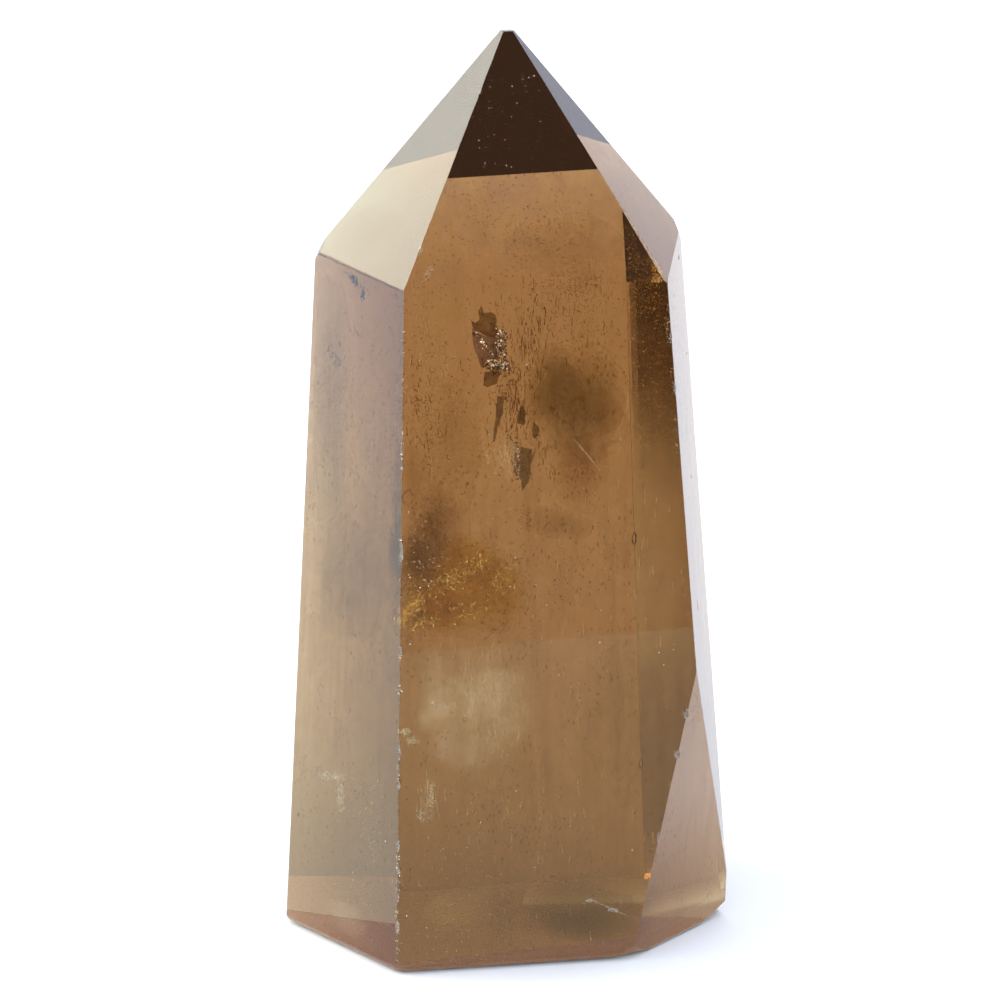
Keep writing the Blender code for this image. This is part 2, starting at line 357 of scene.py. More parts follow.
@dataclass(frozen=True)
class PolishedQuartz(Finish):
    """Clear smoky quartz with a wheel polish, its tint a little uneven from base to tip, and painted light on
    its caps.
    """

    name: str = "polished_smoky_quartz"
    absorbs: Colour = BODY_ABSORBS
    streak_tint: Colour = (0.80, 0.74, 0.66)
    mottle_tint: Colour = (0.86, 0.82, 0.76)
    fleck_tint: Colour = (0.52, 0.42, 0.34)
    ripple: float = 20.0 * MM
    zones: tuple[tuple[float, float, Colour], ...] = (      # where each begins and is full, and its tint
        (22.0 * MM, 1.0 * MM, (0.80, 0.80, 0.84)),
        (50.0 * MM, 60.0 * MM, (0.88, 0.82, 0.82)),
        (66.0 * MM, 69.5 * MM, (0.66, 0.64, 0.72)),
    )
    # Painted light, by which way each side cap looks: a painted cool reflection on the left cap, painted
    # shade on the right.
    side_cap_painted_light: tuple[tuple[Colour, Colour], ...] = (        # which way each looks, and its tint
        ((-0.565, -0.525, 0.639), (0.36, 0.74, 0.92)),
        ((0.70, -0.224, 0.678), (0.33, 0.39, 0.38)),
    )
    side_cap_painted_light_end: tuple[float, float] = (81.0 * MM, 74.0 * MM)
    side_cap_painted_light_like: tuple[float, float] = (0.97, 0.985)     # cosines from outside the face to on it
    side_cap_painted_light_share: float = 0.92
    smooth: float = 0.0
    worn: float = 0.02
    line_depth: float = 0.0012 * MM

    def zoning(self, graph: Graph) -> bpy.types.NodeSocket:
        """Lay a tint that changes with height: darker at the foot, the shoulder and the cap.

        Args:
            graph: the material's graph.
        Returns:
            The tint's socket.
        """
        ripple = graph.math("MULTIPLY", graph.math("SUBTRACT", graph.noise(60.0, 2.0), 0.5), self.ripple)
        height = graph.math("ADD", graph.along("Z"), ripple)
        tint: object = WHITE
        for begins, full, darker_tint in self.zones:
            tint = graph.blend(graph.spread(height, begins, full), tint, darker_tint)
        return tint

    def painted_cap_light(self, graph: Graph, tint: bpy.types.NodeSocket) -> bpy.types.NodeSocket:
        """Lay painted light on the two side caps over a tint, from the shoulder to near the tip.

        Args:
            graph: the material's graph.
            tint: what it is laid over.
        Returns:
            The new tint's socket.
        """
        normal = graph.add("ShaderNodeTexCoord").outputs["Normal"]
        below_tip = graph.spread(graph.along("Z"), *self.side_cap_painted_light_end)
        # Each cap's tint is painted light: a painted cool reflection on the left cap, painted shade on the
        # right.
        for faces, painted_tint in self.side_cap_painted_light:
            on_face = graph.spread(graph.cosine(normal, faces), *self.side_cap_painted_light_like)
            share = graph.math("MULTIPLY", below_tip, on_face)
            tint = graph.blend(graph.math("MULTIPLY", share, self.side_cap_painted_light_share), tint, painted_tint)
        return tint

    def dress(self, graph: Graph, shader: bpy.types.Node) -> None:
        """Lay the crystal's own smoke, specks and polish, and the painted light on its side caps.

        Args:
            graph: the new material's graph.
            shader: its Principled shader.
        """
        streaks = GrowthStreaks.place(graph, Scale=900.0, Low=0.47, High=0.72)
        mottle = Mottle.place(graph, Scale=320.0, Low=0.40, High=0.66)
        fine = Flecks.place(graph, Scale=2100.0, Reach=0.2, Few=0.55)
        bold = Flecks.place(graph, Scale=1100.0, Reach=0.14, Few=0.56)
        wear = PolishWear.place(graph, Smooth=self.smooth, Worn=self.worn)
        tint = graph.blend(mottle.outputs["Mask"], self.zoning(graph), self.mottle_tint)
        tint = graph.blend(streaks.outputs["Mask"], tint, self.streak_tint)
        dots = graph.math("MAXIMUM", fine.outputs["Mask"], bold.outputs["Mask"])
        graph.feed(shader, {
            "Base Color": self.painted_cap_light(graph, graph.blend(dots, tint, self.fleck_tint)),
            "Roughness": wear.outputs["Roughness"],
            "Normal": graph.bump(wear.outputs["Height"], 0.4, self.line_depth),
            "IOR": QUARTZ_IOR,
            "Transmission Weight": 1.0})
        absorb(graph, self.absorbs)


@dataclass(frozen=True)
class FreshBreak(Finish):
    """The frosted, shell-like surface of a chip that was never polished."""

    name: str = "fresh_break"
    light: Colour = (0.86, 0.76, 0.66)
    dark: Colour = (0.6, 0.46, 0.34)
    milky: float = 0.3
    gloss: float = 0.55
    relief: float = 0.03 * MM
    absorbs: Colour = BODY_ABSORBS

    def dress(self, graph: Graph, shader: bpy.types.Node) -> None:
        """Lay the frosted, partly milky surface.

        Args:
            graph: the new material's graph.
            shader: its Principled shader.
        """
        wear = PolishWear.place(graph, Line_Scale=6000.0, Smudge_Scale=2500.0, Smooth=0.2, Worn=self.gloss)
        mottle = Mottle.place(graph, Scale=3000.0)
        graph.feed(shader, {
            "Base Color": graph.blend(mottle.outputs["Mask"], self.dark, self.light),
            "Roughness": wear.outputs["Roughness"],
            "Normal": graph.bump(mottle.outputs["Height"], 0.8, self.relief),
            "IOR": QUARTZ_IOR,
            "Transmission Weight": 1.0 - self.milky})
        absorb(graph, self.absorbs)


@dataclass(frozen=True)
class SmokyZone(Finish):
    """Quartz that is smokier than the rest.  It bends no light, and only takes more of it."""

    absorbs: Colour

    def dress(self, graph: Graph, shader: bpy.types.Node) -> None:
        """Lay the zone's faint mottle and its absorption.

        Args:
            graph: the new material's graph.
            shader: its Principled shader.
        """
        mottle = Mottle.place(graph, Scale=420.0)
        graph.feed(shader, {
            "Base Color": graph.blend(mottle.outputs["Mask"], (0.95, 0.93, 0.9), WHITE),
            "Roughness": graph.spread(mottle.outputs["Height"], 0.3, 0.7, 0.0, 0.02),
            "IOR": 1.0,
            "Transmission Weight": 1.0})
        absorb(graph, self.absorbs)


@dataclass(frozen=True)
class Haze(Finish):
    """A soft milky patch, thick in its middle and gone at its rim."""

    light: Colour
    dark: Colour
    show: float

    def fade(self, graph: Graph) -> bpy.types.NodeSocket:
        """Lay a ragged fade from the patch's middle to its rim.

        Args:
            graph: the material's graph.
        Returns:
            The fade's socket, 1 in the middle.
        """
        share = graph.add("ShaderNodeTexCoord").outputs["Generated"]
        middle = graph.add("ShaderNodeVectorMath", {0: share, 1: (0.5, 0.5, 0.5)}, operation="SUBTRACT")
        apart = graph.add("ShaderNodeSeparateXYZ", {0: middle.outputs["Vector"]})
        squares = [graph.math("POWER", graph.math("ABSOLUTE", apart.outputs[way]), 2.0) for way in ("X", "Z")]
        ragged = graph.math("MULTIPLY", graph.math("SUBTRACT", graph.noise(260.0, 4.0), 0.5), 0.3)
        return graph.spread(graph.math("ADD", ragged, graph.math("ADD", *squares)), 0.22, -0.02)

    def dress(self, graph: Graph, shader: bpy.types.Node) -> None:
        """Lay the patch's streaky veil.

        Args:
            graph: the new material's graph.
            shader: its Principled shader.
        """
        streaks = GrowthStreaks.place(graph, Scale=700.0, Low=0.3, High=0.75).outputs["Mask"]
        mottle = Mottle.place(graph, Scale=500.0, Low=0.3, High=0.7)
        both = graph.math("ADD", streaks, mottle.outputs["Mask"])
        veil = graph.math("ADD", graph.math("MULTIPLY", both, 0.35), 0.5)
        fade = graph.math("POWER", self.fade(graph), 1.8)
        graph.feed(shader, {
            "Base Color": graph.blend(mottle.outputs["Mask"], self.dark, self.light),
            "Roughness": graph.math("ADD", graph.math("MULTIPLY", streaks, 0.2), 0.6),
            "Normal": graph.bump(mottle.outputs["Height"], 0.3, 0.01 * MM),
            "Specular IOR Level": 0.1,
            "Alpha": graph.math("MULTIPLY", fade, graph.math("MULTIPLY", veil, self.show))})


@dataclass(frozen=True)
class Grain(Finish):
    """Solid matter locked in the crystal: colour, gloss and how much shows through it."""

    light: Colour
    dark: Colour
    rough: tuple[float, float] = (0.4, 0.7)
    metallic: float = 0.0
    show: tuple[float, float] = OPAQUE
    cells: float = 1500.0
    relief: float = 0.02 * MM
    sheen: float = 0.1

    def dress(self, graph: Graph, shader: bpy.types.Node) -> None:
        """Lay the grain's mottled surface.

        Args:
            graph: the new material's graph.
            shader: its Principled shader.
        """
        mottle = Mottle.place(graph, Scale=self.cells)
        mask = mottle.outputs["Mask"]
        graph.feed(shader, {
            "Base Color": graph.blend(mask, self.dark, self.light),
            "Roughness": graph.spread(mottle.outputs["Height"], 0.3, 0.7, *self.rough),
            "Normal": graph.bump(mottle.outputs["Height"], 0.6, self.relief),
            "Metallic": self.metallic,
            "Specular IOR Level": self.sheen})
        if self.show != OPAQUE:
            graph.feed(shader, {"Alpha": graph.spread(mask, 0.0, 1.0, *self.show)})


@dataclass(frozen=True)
class BandShade(Finish):
    """Painted shade: a thin dark brown sheet over the dark band on the right, strongest at the top and gone
    lower down.
    """

    name: str = "painted_band_shade"
    light: Colour = (0.10, 0.045, 0.018)
    dark: Colour = (0.02, 0.009, 0.004)
    gone_below: float = 37.0 * MM
    full_above: float = 70.0 * MM
    show: float = 0.50

    def dress(self, graph: Graph, shader: bpy.types.Node) -> None:
        """Lay the painted shade, which fades with height.

        Args:
            graph: the new material's graph.
            shader: its Principled shader.
        """
        mottle = Mottle.place(graph, Scale=700.0)
        strength = graph.spread(graph.along("Z"), self.gone_below, self.full_above, 0.0, self.show)
        patchy = graph.spread(graph.noise(500.0, 5.0), 0.3, 0.6, 0.75, 1.0)
        graph.feed(shader, {
            "Base Color": graph.blend(mottle.outputs["Mask"], self.dark, self.light),
            "Roughness": graph.spread(mottle.outputs["Height"], 0.3, 0.7, 0.4, 0.7),
            "Normal": graph.bump(mottle.outputs["Height"], 0.5, 0.02 * MM),
            "Alpha": graph.math("MULTIPLY", strength, patchy)})


class Finishes:
    """The materials made so far, so that pieces with the same finish share one."""

    def __init__(self) -> None:
        """Start with none."""
        self.made: dict[str, bpy.types.Material] = {}

    def give(self, finish: Finish) -> bpy.types.Material:
        """Give a finish's material, and make it the first time.

        Args:
            finish: the finish.
        Returns:
            Its material.
        """
        if finish.name not in self.made:
            self.made[finish.name] = finish.material()
        return self.made[finish.name]


FINISHES = Finishes()

SILVER_CRUMB = Grain("silver_crumb", (1.0, 0.95, 0.84), (0.9, 0.8, 0.66), (0.03, 0.15), 0.95, sheen=0.5)
GOLD_FLAKE = Grain("gold_flake", (1.0, 0.72, 0.2), (0.95, 0.52, 0.08), (0.06, 0.3), 0.95, (0.4, 1.0),
                   sheen=0.5)
BRIGHT_GLINT = Grain("bright_glint", (1.0, 0.92, 0.76), (1.0, 0.84, 0.6), (0.15, 0.35), 0.35, (0.9, 1.0),
                     sheen=0.5)
MILKY_FLECK = Grain("milky_fleck", (1.0, 0.86, 0.60), (0.95, 0.78, 0.5), (0.5, 0.8), show=(0.06, 0.32))
DARK_FILM = Grain("dark_film", (0.45, 0.26, 0.10), (0.27, 0.145, 0.05), show=(0.7, 0.92), cells=900.0)
RED_FILM = Grain("red_film", (0.66, 0.42, 0.30), (0.45, 0.27, 0.17), show=(0.6, 0.85), cells=900.0)
RUST_FLAKE = Grain("rust_flake", (0.85, 0.34, 0.06), (0.45, 0.16, 0.03), show=(0.06, 0.35))
SLATE_SPECK = Grain("slate_speck", (0.34, 0.26, 0.2), (0.1, 0.08, 0.07), show=(0.3, 0.85))
SOOT_SPECK = Grain("soot_speck", (0.4, 0.17, 0.06), (0.1, 0.04, 0.015), show=(0.25, 0.8))
FAINT_STREAK = Grain("faint_streak", (0.5, 0.2, 0.06), (0.2, 0.08, 0.025), show=(0.05, 0.3))

SMOKY = SmokyZone("smoky_zone", (46.0, 50.0, 60.0))
RUSTY = SmokyZone("rusty_zone", (45.0, 60.0, 82.0))
AMBER = SmokyZone("amber_zone", (42.0, 88.0, 330.0))
DENSE = SmokyZone("dense_zone", (105.0, 135.0, 190.0))
OLIVE = SmokyZone("olive_zone", (95.0, 98.0, 118.0))
# Milky haze that is also a painted reflection of the pale floor on the lower faces.
HAZE_AND_PAINTED_REFLECTION = Haze("warm_haze_and_painted_reflection", (1.0, 0.8, 0.5), (0.9, 0.66, 0.36), 0.17)
YELLOW_HAZE = Haze("yellow_haze", (1.0, 0.64, 0.20), (0.95, 0.56, 0.15), 0.10)


# ------------------------------------------------------------------ where things lie
@dataclass(frozen=True)
class Eye:
    """The camera's place, which also says where in the crystal a thing seen in the frame lies."""

    aim: Vector = field(default_factory=lambda: Vector((-0.67, 1.248, 42.0)) * MM)
    elevation: float = 17.0
    distance: float = 470.0 * MM
    lens_in_widths: float = 4.77337
    shift_across: float = 0.00004
    shift_up: float = 0.00237
    sensor: float = 36.0                 # in millimetres, as the lens is

    def place(self) -> Vector:
        """Where the camera stands."""
        angle = math.radians(self.elevation)
        return self.aim + Vector((0.0, -math.cos(angle), math.sin(angle))) * self.distance

    def tilt(self) -> Euler:
        """The camera's turn: it looks along +Y and down."""
        return Euler((math.radians(90.0 - self.elevation), 0.0, 0.0))

    def ray(self, column: float, row: float) -> Vector:
        """The way that the camera looks through a pixel.

        Args:
            column: the pixel, from the frame's left.
            row: the pixel, from the frame's top.
        Returns:
            The unit vector from the camera.
        """
        across = (column / FRAME_SIDE - 0.5 + self.shift_across) / self.lens_in_widths
        up = (0.5 - row / FRAME_SIDE + self.shift_up) / self.lens_in_widths
        look = Vector((across, up, -1.0))
        look.rotate(self.tilt())
        return look.normalized()

    def build(self) -> bpy.types.Object:
        """Make the camera.

        Returns:
            The camera.
        """
        data = bpy.data.cameras.new("camera")
        camera = bpy.data.objects.new("camera", data)
        bpy.context.scene.collection.objects.link(camera)
        camera.location = self.place()
        camera.rotation_euler = self.tilt()
        data.sensor_width = self.sensor
        data.lens = data.sensor_width * self.lens_in_widths
        data.shift_x = self.shift_across
        data.shift_y = self.shift_up
        data.clip_start = 0.01
        bpy.context.scene.camera = camera
        return camera


EYE = Eye()


class Solid:
    """The crystal's outside, asked where a line of sight goes and whether a point is inside."""

    def __init__(self, mesh: bpy.types.Mesh, planes: list[tuple[Vector, float]]) -> None:
        """Keep a search tree of the mesh's faces, and the planes of its big faces."""
        self.planes = planes
        self.tree = BVHTree.FromPolygons(
            [corner.co.copy() for corner in mesh.vertices], [list(face.vertices) for face in mesh.polygons])

    def room(self, point: Vector) -> float:
        """How far a point lies under the surface, less than nothing outside."""
        under = min(level - normal.dot(point) for normal, level in self.planes)
        return min(under, self.tree.find_nearest(point)[3])

    def behind(self, column: float, row: float, depth: float) -> Vector:
        """Find what shows at a pixel, where sight goes on inside, bent by the quartz.

        Args:
            column: the pixel, from the frame's left.
            row: the pixel, from the frame's top.
            depth: how far inside the point lies, in metres along the bent line.
        Returns:
            The point.
        """
        look = EYE.ray(column, row)
        point, normal, _, _ = self.tree.ray_cast(EYE.place(), look)
        if point is None:
            raise ValueError(f"the crystal isn't seen at {column}, {row}")
        ratio = 1.0 / QUARTZ_IOR
        facing = -normal.dot(look)
        bent = math.sqrt(1.0 - ratio * ratio * (1.0 - facing * facing))
        inside = look * ratio + normal * (ratio * facing - bent)
        return point + inside.normalized() * depth


# ------------------------------------------------------------------ meshes
def baked(name: str, shape: bmesh.types.BMesh) -> bpy.types.Mesh:
    """Turn a finished shape into a mesh and free the shape.

    Args:
        name: the mesh's name.
        shape: the shape.
    Returns:
        The mesh.
    """
    mesh = bpy.data.meshes.new(name)
    shape.to_mesh(mesh)
    shape.free()
    return mesh


def new_object(name: str, mesh: bpy.types.Mesh, finish: bpy.types.Material) -> bpy.types.Object:
    """Put a mesh with its finish into the scene.

    Args:
        name: the object's name.
        mesh: its mesh.
        finish: its material.
    Returns:
        The object.
    """
    made = bpy.data.objects.new(name, mesh)
    bpy.context.scene.collection.objects.link(made)
    mesh.materials.append(finish)
    return made


def new_piece(name: str, mesh: bpy.types.Mesh, finish: bpy.types.Material) -> bpy.types.Object:
    """Make a piece of the object, which rides on the crystal's body.

    Args:
        name: the piece's name.
        mesh: its mesh.
        finish: its material.
    Returns:
        The piece.
    """
    piece = new_object(name, mesh, finish)
    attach(piece, "root")
    return piece


class Form(Enum):
    """The shapes that small inclusions have."""

    CRUMB = "crumb"
    PLATE = "plate"
    NEEDLE = "needle"


def template(form: Form) -> tuple[np.ndarray, np.ndarray]:
    """Make one small closed mesh of unit size.

    Args:
        form: which shape.
    Returns:
        Its points and its triangles.
    """
    small = bmesh.new()
    if form is Form.CRUMB:
        bmesh.ops.create_icosphere(small, subdivisions=1, radius=0.5)
    elif form is Form.PLATE:
        bmesh.ops.create_cone(small, cap_ends=True, segments=6, radius1=0.5, radius2=0.4, depth=0.16)
    else:
        bmesh.ops.create_cone(small, cap_ends=True, segments=4, radius1=0.5, radius2=0.28, depth=1.0)
    bmesh.ops.triangulate(small, faces=small.faces)
    small.verts.ensure_lookup_table()
    points = np.array([corner.co for corner in small.verts])
    faces = np.array([[corner.index for corner in face.verts] for face in small.faces])
    small.free()
    return points, faces


def joined_copies(name: str, form: Form, poses: list[Matrix], rng: np.random.Generator,
                  uneven: float) -> bpy.types.Mesh:
    """Copy one small form to many places, each copy uneven in its own way.

    Args:
        name: the mesh's name.
        form: the form to copy.
        poses: where each copy goes, with its turn and size.
        rng: the source of unevenness.
        uneven: how far a corner may stray, as a share of the form's size.
    Returns:
        One mesh with every copy.
    """
    points, faces = template(form)
    turns = np.array([[list(row) for row in pose] for pose in poses])
    stray = rng.uniform(-uneven, uneven, (len(poses), len(points), 3)) * np.abs(points).max(0)
    shapes = points[None] + stray
    placed = np.einsum("nij,nkj->nki", turns[:, :3, :3], shapes) + turns[:, None, :3, 3]
    numbered = faces[None] + (np.arange(len(poses)) * len(points))[:, None, None]
    mesh = bpy.data.meshes.new(name)
    mesh.from_pydata(placed.reshape(-1, 3).tolist(), [], numbered.reshape(-1, 3).tolist())
    mesh.validate()
    return mesh


class Lie(Enum):
    """How the grains of a swarm are turned."""

    ANY = "any"
    UPRIGHT = "upright"
    FACING = "facing"


@dataclass(frozen=True)
class Patch:
    """An oval patch of the frame, and the depths under the crystal's surface that it holds.

    The place and half sizes are in pixels, and the depths in millimetres.  The share weighs it
    against a swarm's other patches.  The slant is how far it moves aside for each pixel down.
    """

    column: float
    row: float
    half_wide: float
    half_high: float
    shallow: float
    deep: float
    share: float = 1.0
    slant: float = 0.0

    def pick(self, solid: Solid, rng: np.random.Generator, soft: bool) -> Vector | None:
        """Pick a point in the patch.

        Args:
            solid: the crystal.
            rng: the source of chance.
            soft: whether the patch thins out towards its rim.
        Returns:
            The point, or nothing where the line of sight misses the crystal.
        """
        across, down = rng.normal(scale=0.5, size=2) if soft else rng.uniform(-1.0, 1.0, 2)
        row = self.row + down * self.half_high
        column = self.column + across * self.half_wide + down * self.half_high * self.slant
        depth = rng.uniform(self.shallow, self.deep) * MM
        try:
            return solid.behind(column, row, depth)
        except ValueError:
            return None


@dataclass(frozen=True)
class Swarm:
    """Many small grains of one kind scattered over patches of the crystal's inside.

    The size runs from the least to the most, in millimetres, and the stretch multiplies it along
    each axis.  The wobble and the lean are in degrees.
    """

    name: str
    finish: Grain
    form: Form
    count: int
    patches: tuple[Patch, ...]
    size: tuple[float, float]
    stretch: Colour = (1.0, 1.0, 1.0)
    lie: Lie = Lie.ANY
    wobble: float = 12.0
    lean: float = 0.0
    uneven: float = 0.35
    soft: bool = True
    seed: int = 1
    reach: float = 0.7           # of its longest side, the room that a grain needs

    def turn(self, rng: np.random.Generator) -> Quaternion:
        """Turn one grain.

        Args:
            rng: the source of chance.
        Returns:
            The grain's turn.
        """
        if self.lie is Lie.ANY:
            return Quaternion(rng.normal(size=4).tolist()).normalized()
        wobble = Euler(np.radians(rng.normal(scale=self.wobble, size=3)).tolist()).to_quaternion()
        spin = Quaternion((0.0, 0.0, 1.0), rng.uniform(0.0, math.tau))
        lean = Quaternion((0.0, 1.0, 0.0), math.radians(self.lean))
        if self.lie is Lie.UPRIGHT:
            return lean @ wobble @ spin
        return lean @ wobble @ Quaternion((1.0, 0.0, 0.0), math.radians(90.0)) @ spin

    def poses(self, solid: Solid, rng: np.random.Generator) -> list[Matrix]:
        """Find a place, turn and size for every grain that fits inside the crystal.

        Args:
            solid: the crystal.
            rng: the source of chance.
        Returns:
            A matrix for each grain.
        """
        shares = np.array([patch.share for patch in self.patches])
        chosen = rng.choice(len(self.patches), size=self.count, p=shares / shares.sum())
        poses = []
        for number in chosen:
            place = self.patches[number].pick(solid, rng, self.soft)
            size = math.exp(rng.uniform(math.log(self.size[0]), math.log(self.size[1]))) * MM
            turn = self.turn(rng)
            if place is None or solid.room(place) < size * max(self.stretch) * self.reach:
                continue
            scale = Matrix.Diagonal((*(size * part for part in self.stretch), 1.0))
            poses.append(Matrix.Translation(place) @ turn.to_matrix().to_4x4() @ scale)
        return poses

    def build(self, solid: Solid) -> bpy.types.Object:
        """Make the swarm's piece.

        Args:
            solid: the crystal.
        Returns:
            The piece.
        """
        rng = np.random.default_rng(self.seed)
        mesh = joined_copies(self.name, self.form, self.poses(solid, rng), rng, self.uneven)
        return new_piece(self.name, mesh, FINISHES.give(self.finish))


@dataclass(frozen=True)
class Film:
    """A thin film in a fissure, its ragged outline given as columns and rows of the frame.

    The depth, relief and thickness are in millimetres, and the dip in millimetres for each pixel
    down.  The spacing, in pixels, is how close the film's points lie.
    """

    name: str
    finish: Grain
    outline: tuple[tuple[float, float], ...]
    depth: float
    dip: float = 0.02
    ragged: float = 0.05
    relief: float = 0.06
    thick: float = 0.03
    spacing: float = 1.6
    seed: int = 1
    breaks: int = 3              # how often each stretch of the outline is halved
    crumple: float = 0.35        # crumples for each pixel

    def ragged_outline(self, rng: np.random.Generator) -> list[Vector]:
        """Break the outline's straight stretches up.

        Args:
            rng: the source of chance.
        Returns:
            The outline's points.
        """
        corners = [Vector(corner) for corner in self.outline]
        for _ in range(self.breaks):
            finer = []
            for here, there in zip(corners, corners[1:] + corners[:1]):
                way = there - here
                finer.append(here)
                if way.length > self.spacing:
                    side = Vector((way.y, -way.x)) * rng.normal(scale=self.ragged)
                    finer.append(here.lerp(there, rng.uniform(0.35, 0.65)) + side)
            corners = finer
        return corners

    def depth_at(self, spot: Vector, layer: int) -> float:
        """How deep the film lies at a pixel.

        Args:
            spot: the pixel.
            layer: 0 for its front, 1 for its back.
        Returns:
            The depth in metres.
        """
        wave = noise.noise(Vector((spot.x * self.crumple, spot.y * self.crumple, self.seed * 7.0)))
        dipped = self.depth + (spot.y - self.outline[0][1]) * self.dip
        return (dipped + wave * self.relief + layer * self.thick) * MM

    def build(self, solid: Solid) -> bpy.types.Object:
        """Make the film's piece: a closed, thin and slightly crumpled sheet.

        Args:
            solid: the crystal.
        Returns:
            The piece.
        """
        rng = np.random.default_rng(self.seed)
        rim = self.ragged_outline(rng)
        spread = np.array(rim)
        low, high = spread.min(0), spread.max(0)
        inner_count = int((high - low).prod() / self.spacing ** 2)
        inner = [Vector(spot) for spot in rng.uniform(low, high, (inner_count, 2))]
        edges = [(number, (number + 1) % len(rim)) for number in range(len(rim))]
        flat, _, faces, _, _, _ = delaunay_2d_cdt(rim + inner, edges, [list(range(len(rim)))], 1, 0.01)
        sheet = bmesh.new()
        front, back = ([sheet.verts.new(solid.behind(spot.x, spot.y, self.depth_at(spot, layer)))
                        for spot in flat] for layer in (0, 1))
        for face in faces:
            sheet.faces.new([front[corner] for corner in face])
            sheet.faces.new([back[corner] for corner in reversed(face)])
        partner = dict(zip(front, back))
        for edge in [edge for edge in sheet.edges if len(edge.link_faces) == 1]:
            first, second = edge.verts
            if first in partner and second in partner:
                sheet.faces.new((first, second, partner[second], partner[first]))
        loose = [corner for corner in sheet.verts if not corner.link_faces]
        bmesh.ops.delete(sheet, geom=loose, context="VERTS")
        bmesh.ops.recalc_face_normals(sheet, faces=sheet.faces)
        return new_piece(self.name, baked(self.name, sheet), FINISHES.give(self.finish))


@dataclass(frozen=True)
class Cloud:
    """A lump of smokier quartz or a flat haze, seen as a soft patch in the frame.

    The place and half sizes are in pixels, the depth and half thickness in millimetres, and the
    roll and turn in degrees.  One that is turned also leans as the crystal's sides do.
    """

    name: str
    finish: SmokyZone | Haze
    column: float
    row: float
    half_wide: float
    half_high: float
    depth: float
    half_thick: float
    roll: float = 0.0
    uneven: float = 0.22
    seed: int = 1
    turn: float = 0.0
    measure: float = 10.0        # the pixels over which the scale is taken
    fullness: tuple[float, float, float] = (1.15, 1.2, 1.15)
    lumps: float = 1.3           # for each radius

    def lump(self) -> bmesh.types.BMesh:
        """Make a lumpy ball of unit size, thin where it ends to the front and back.

        Returns:
            The lump.
        """
        lump = bmesh.new()
        bmesh.ops.create_icosphere(lump, subdivisions=4, radius=1.0)
        wide, thick, high = self.fullness
        for corner in lump.verts:
            way = corner.co.normalized()
            swell = noise.fractal(way * self.lumps + Vector((self.seed * 5.0, 0.0, 0.0)), 1.0, 2.0, 3)
            tapered = Vector((way.x * wide, thick * way.y ** 3, way.z * high))
            corner.co = tapered * (1.0 + self.uneven * swell)
        for face in lump.faces:
            face.smooth = True
        return lump

    def build(self, solid: Solid) -> bpy.types.Object:
        """Make the cloud's piece.

        Args:
            solid: the crystal, which it has to fit in.
        Returns:
            The piece.
        """
        middle = solid.behind(self.column, self.row, self.depth * MM)
        aside = solid.behind(self.column + self.measure, self.row, self.depth * MM)
        per_pixel = (aside - middle).length / self.measure
        scale = Matrix.Diagonal((self.half_wide * per_pixel, self.half_thick * MM,
                                 self.half_high * per_pixel, 1.0))
        lean = SIDES_LEAN if self.turn else 0.0
        turned = Euler([math.radians(angle) for angle in (lean, self.roll, self.turn)]).to_matrix().to_4x4()
        lump = self.lump()
        lump.transform(Matrix.Translation(middle) @ turned @ scale)
        mesh = baked(self.name, lump)
        inside = min(solid.room(corner.co) for corner in mesh.vertices)
        if inside < 0.0:
            raise ValueError(f"{self.name} stands {-inside / MM:.2f} mm out of the crystal")
        return new_piece(self.name, mesh, FINISHES.give(self.finish))


def facing_way(turn: float, lean: float) -> Vector:
    """The way that a ground face looks, from its degrees round the axis and up; 0 is the front."""
    around, up = math.radians(turn), math.radians(lean)
    return Vector((math.sin(around) * math.cos(up), -math.cos(around) * math.cos(up), math.sin(up)))


@dataclass(frozen=True)
class ShadeSheet:
    """A sheet of painted shade just inside one of the ground faces."""

    name: str
    finish: BandShade
    faces_turn: float
    faces_lean: float
    under: float = 0.3 * MM
    inset: float = 0.9
    thick: float = 0.02 * MM

    def build(self, body: bpy.types.Mesh) -> bpy.types.Object:
        """Make the sheet's piece, shaped like the face that it lies under.

        Args:
            body: the crystal's mesh.
        Returns:
            The piece.
        """
        looks = facing_way(self.faces_turn, self.faces_lean)
        flat = [face for face in body.polygons if face.normal.dot(looks) > SAME_WAY]
        corners = [body.vertices[number].co for face in flat for number in face.vertices]
        across = Vector((0.0, 0.0, 1.0)).cross(looks).normalized()
        up = looks.cross(across)
        spots = [Vector((corner.dot(across), corner.dot(up))) for corner in corners]
        hull = [spots[number] for number in convex_hull_2d(spots)]
        centre = sum(hull, Vector((0.0, 0.0))) / len(hull)
        rim = [centre.lerp(spot, self.inset) for spot in hull]
        level = max(corner.dot(looks) for corner in corners) - self.under
        sheet = bmesh.new()
        front, back = ([sheet.verts.new(across * spot.x + up * spot.y + looks * (level - layer))
                        for spot in rim] for layer in (0.0, self.thick))
        sheet.faces.new(front)
        sheet.faces.new(list(reversed(back)))
        for number in range(len(rim)):
            after = (number + 1) % len(rim)
            sheet.faces.new((front[number], back[number], back[after], front[after]))
        bmesh.ops.recalc_face_normals(sheet, faces=sheet.faces)
        return new_piece(self.name, baked(self.name, sheet), FINISHES.give(self.finish))


# ------------------------------------------------------------------ the crystal itself
class Skin(IntEnum):
    """The finishes of the crystal's faces, in the order of its material slots."""

    POLISHED = 0
    FROSTED = 1
    STRIP = 2
    FOOT = 3


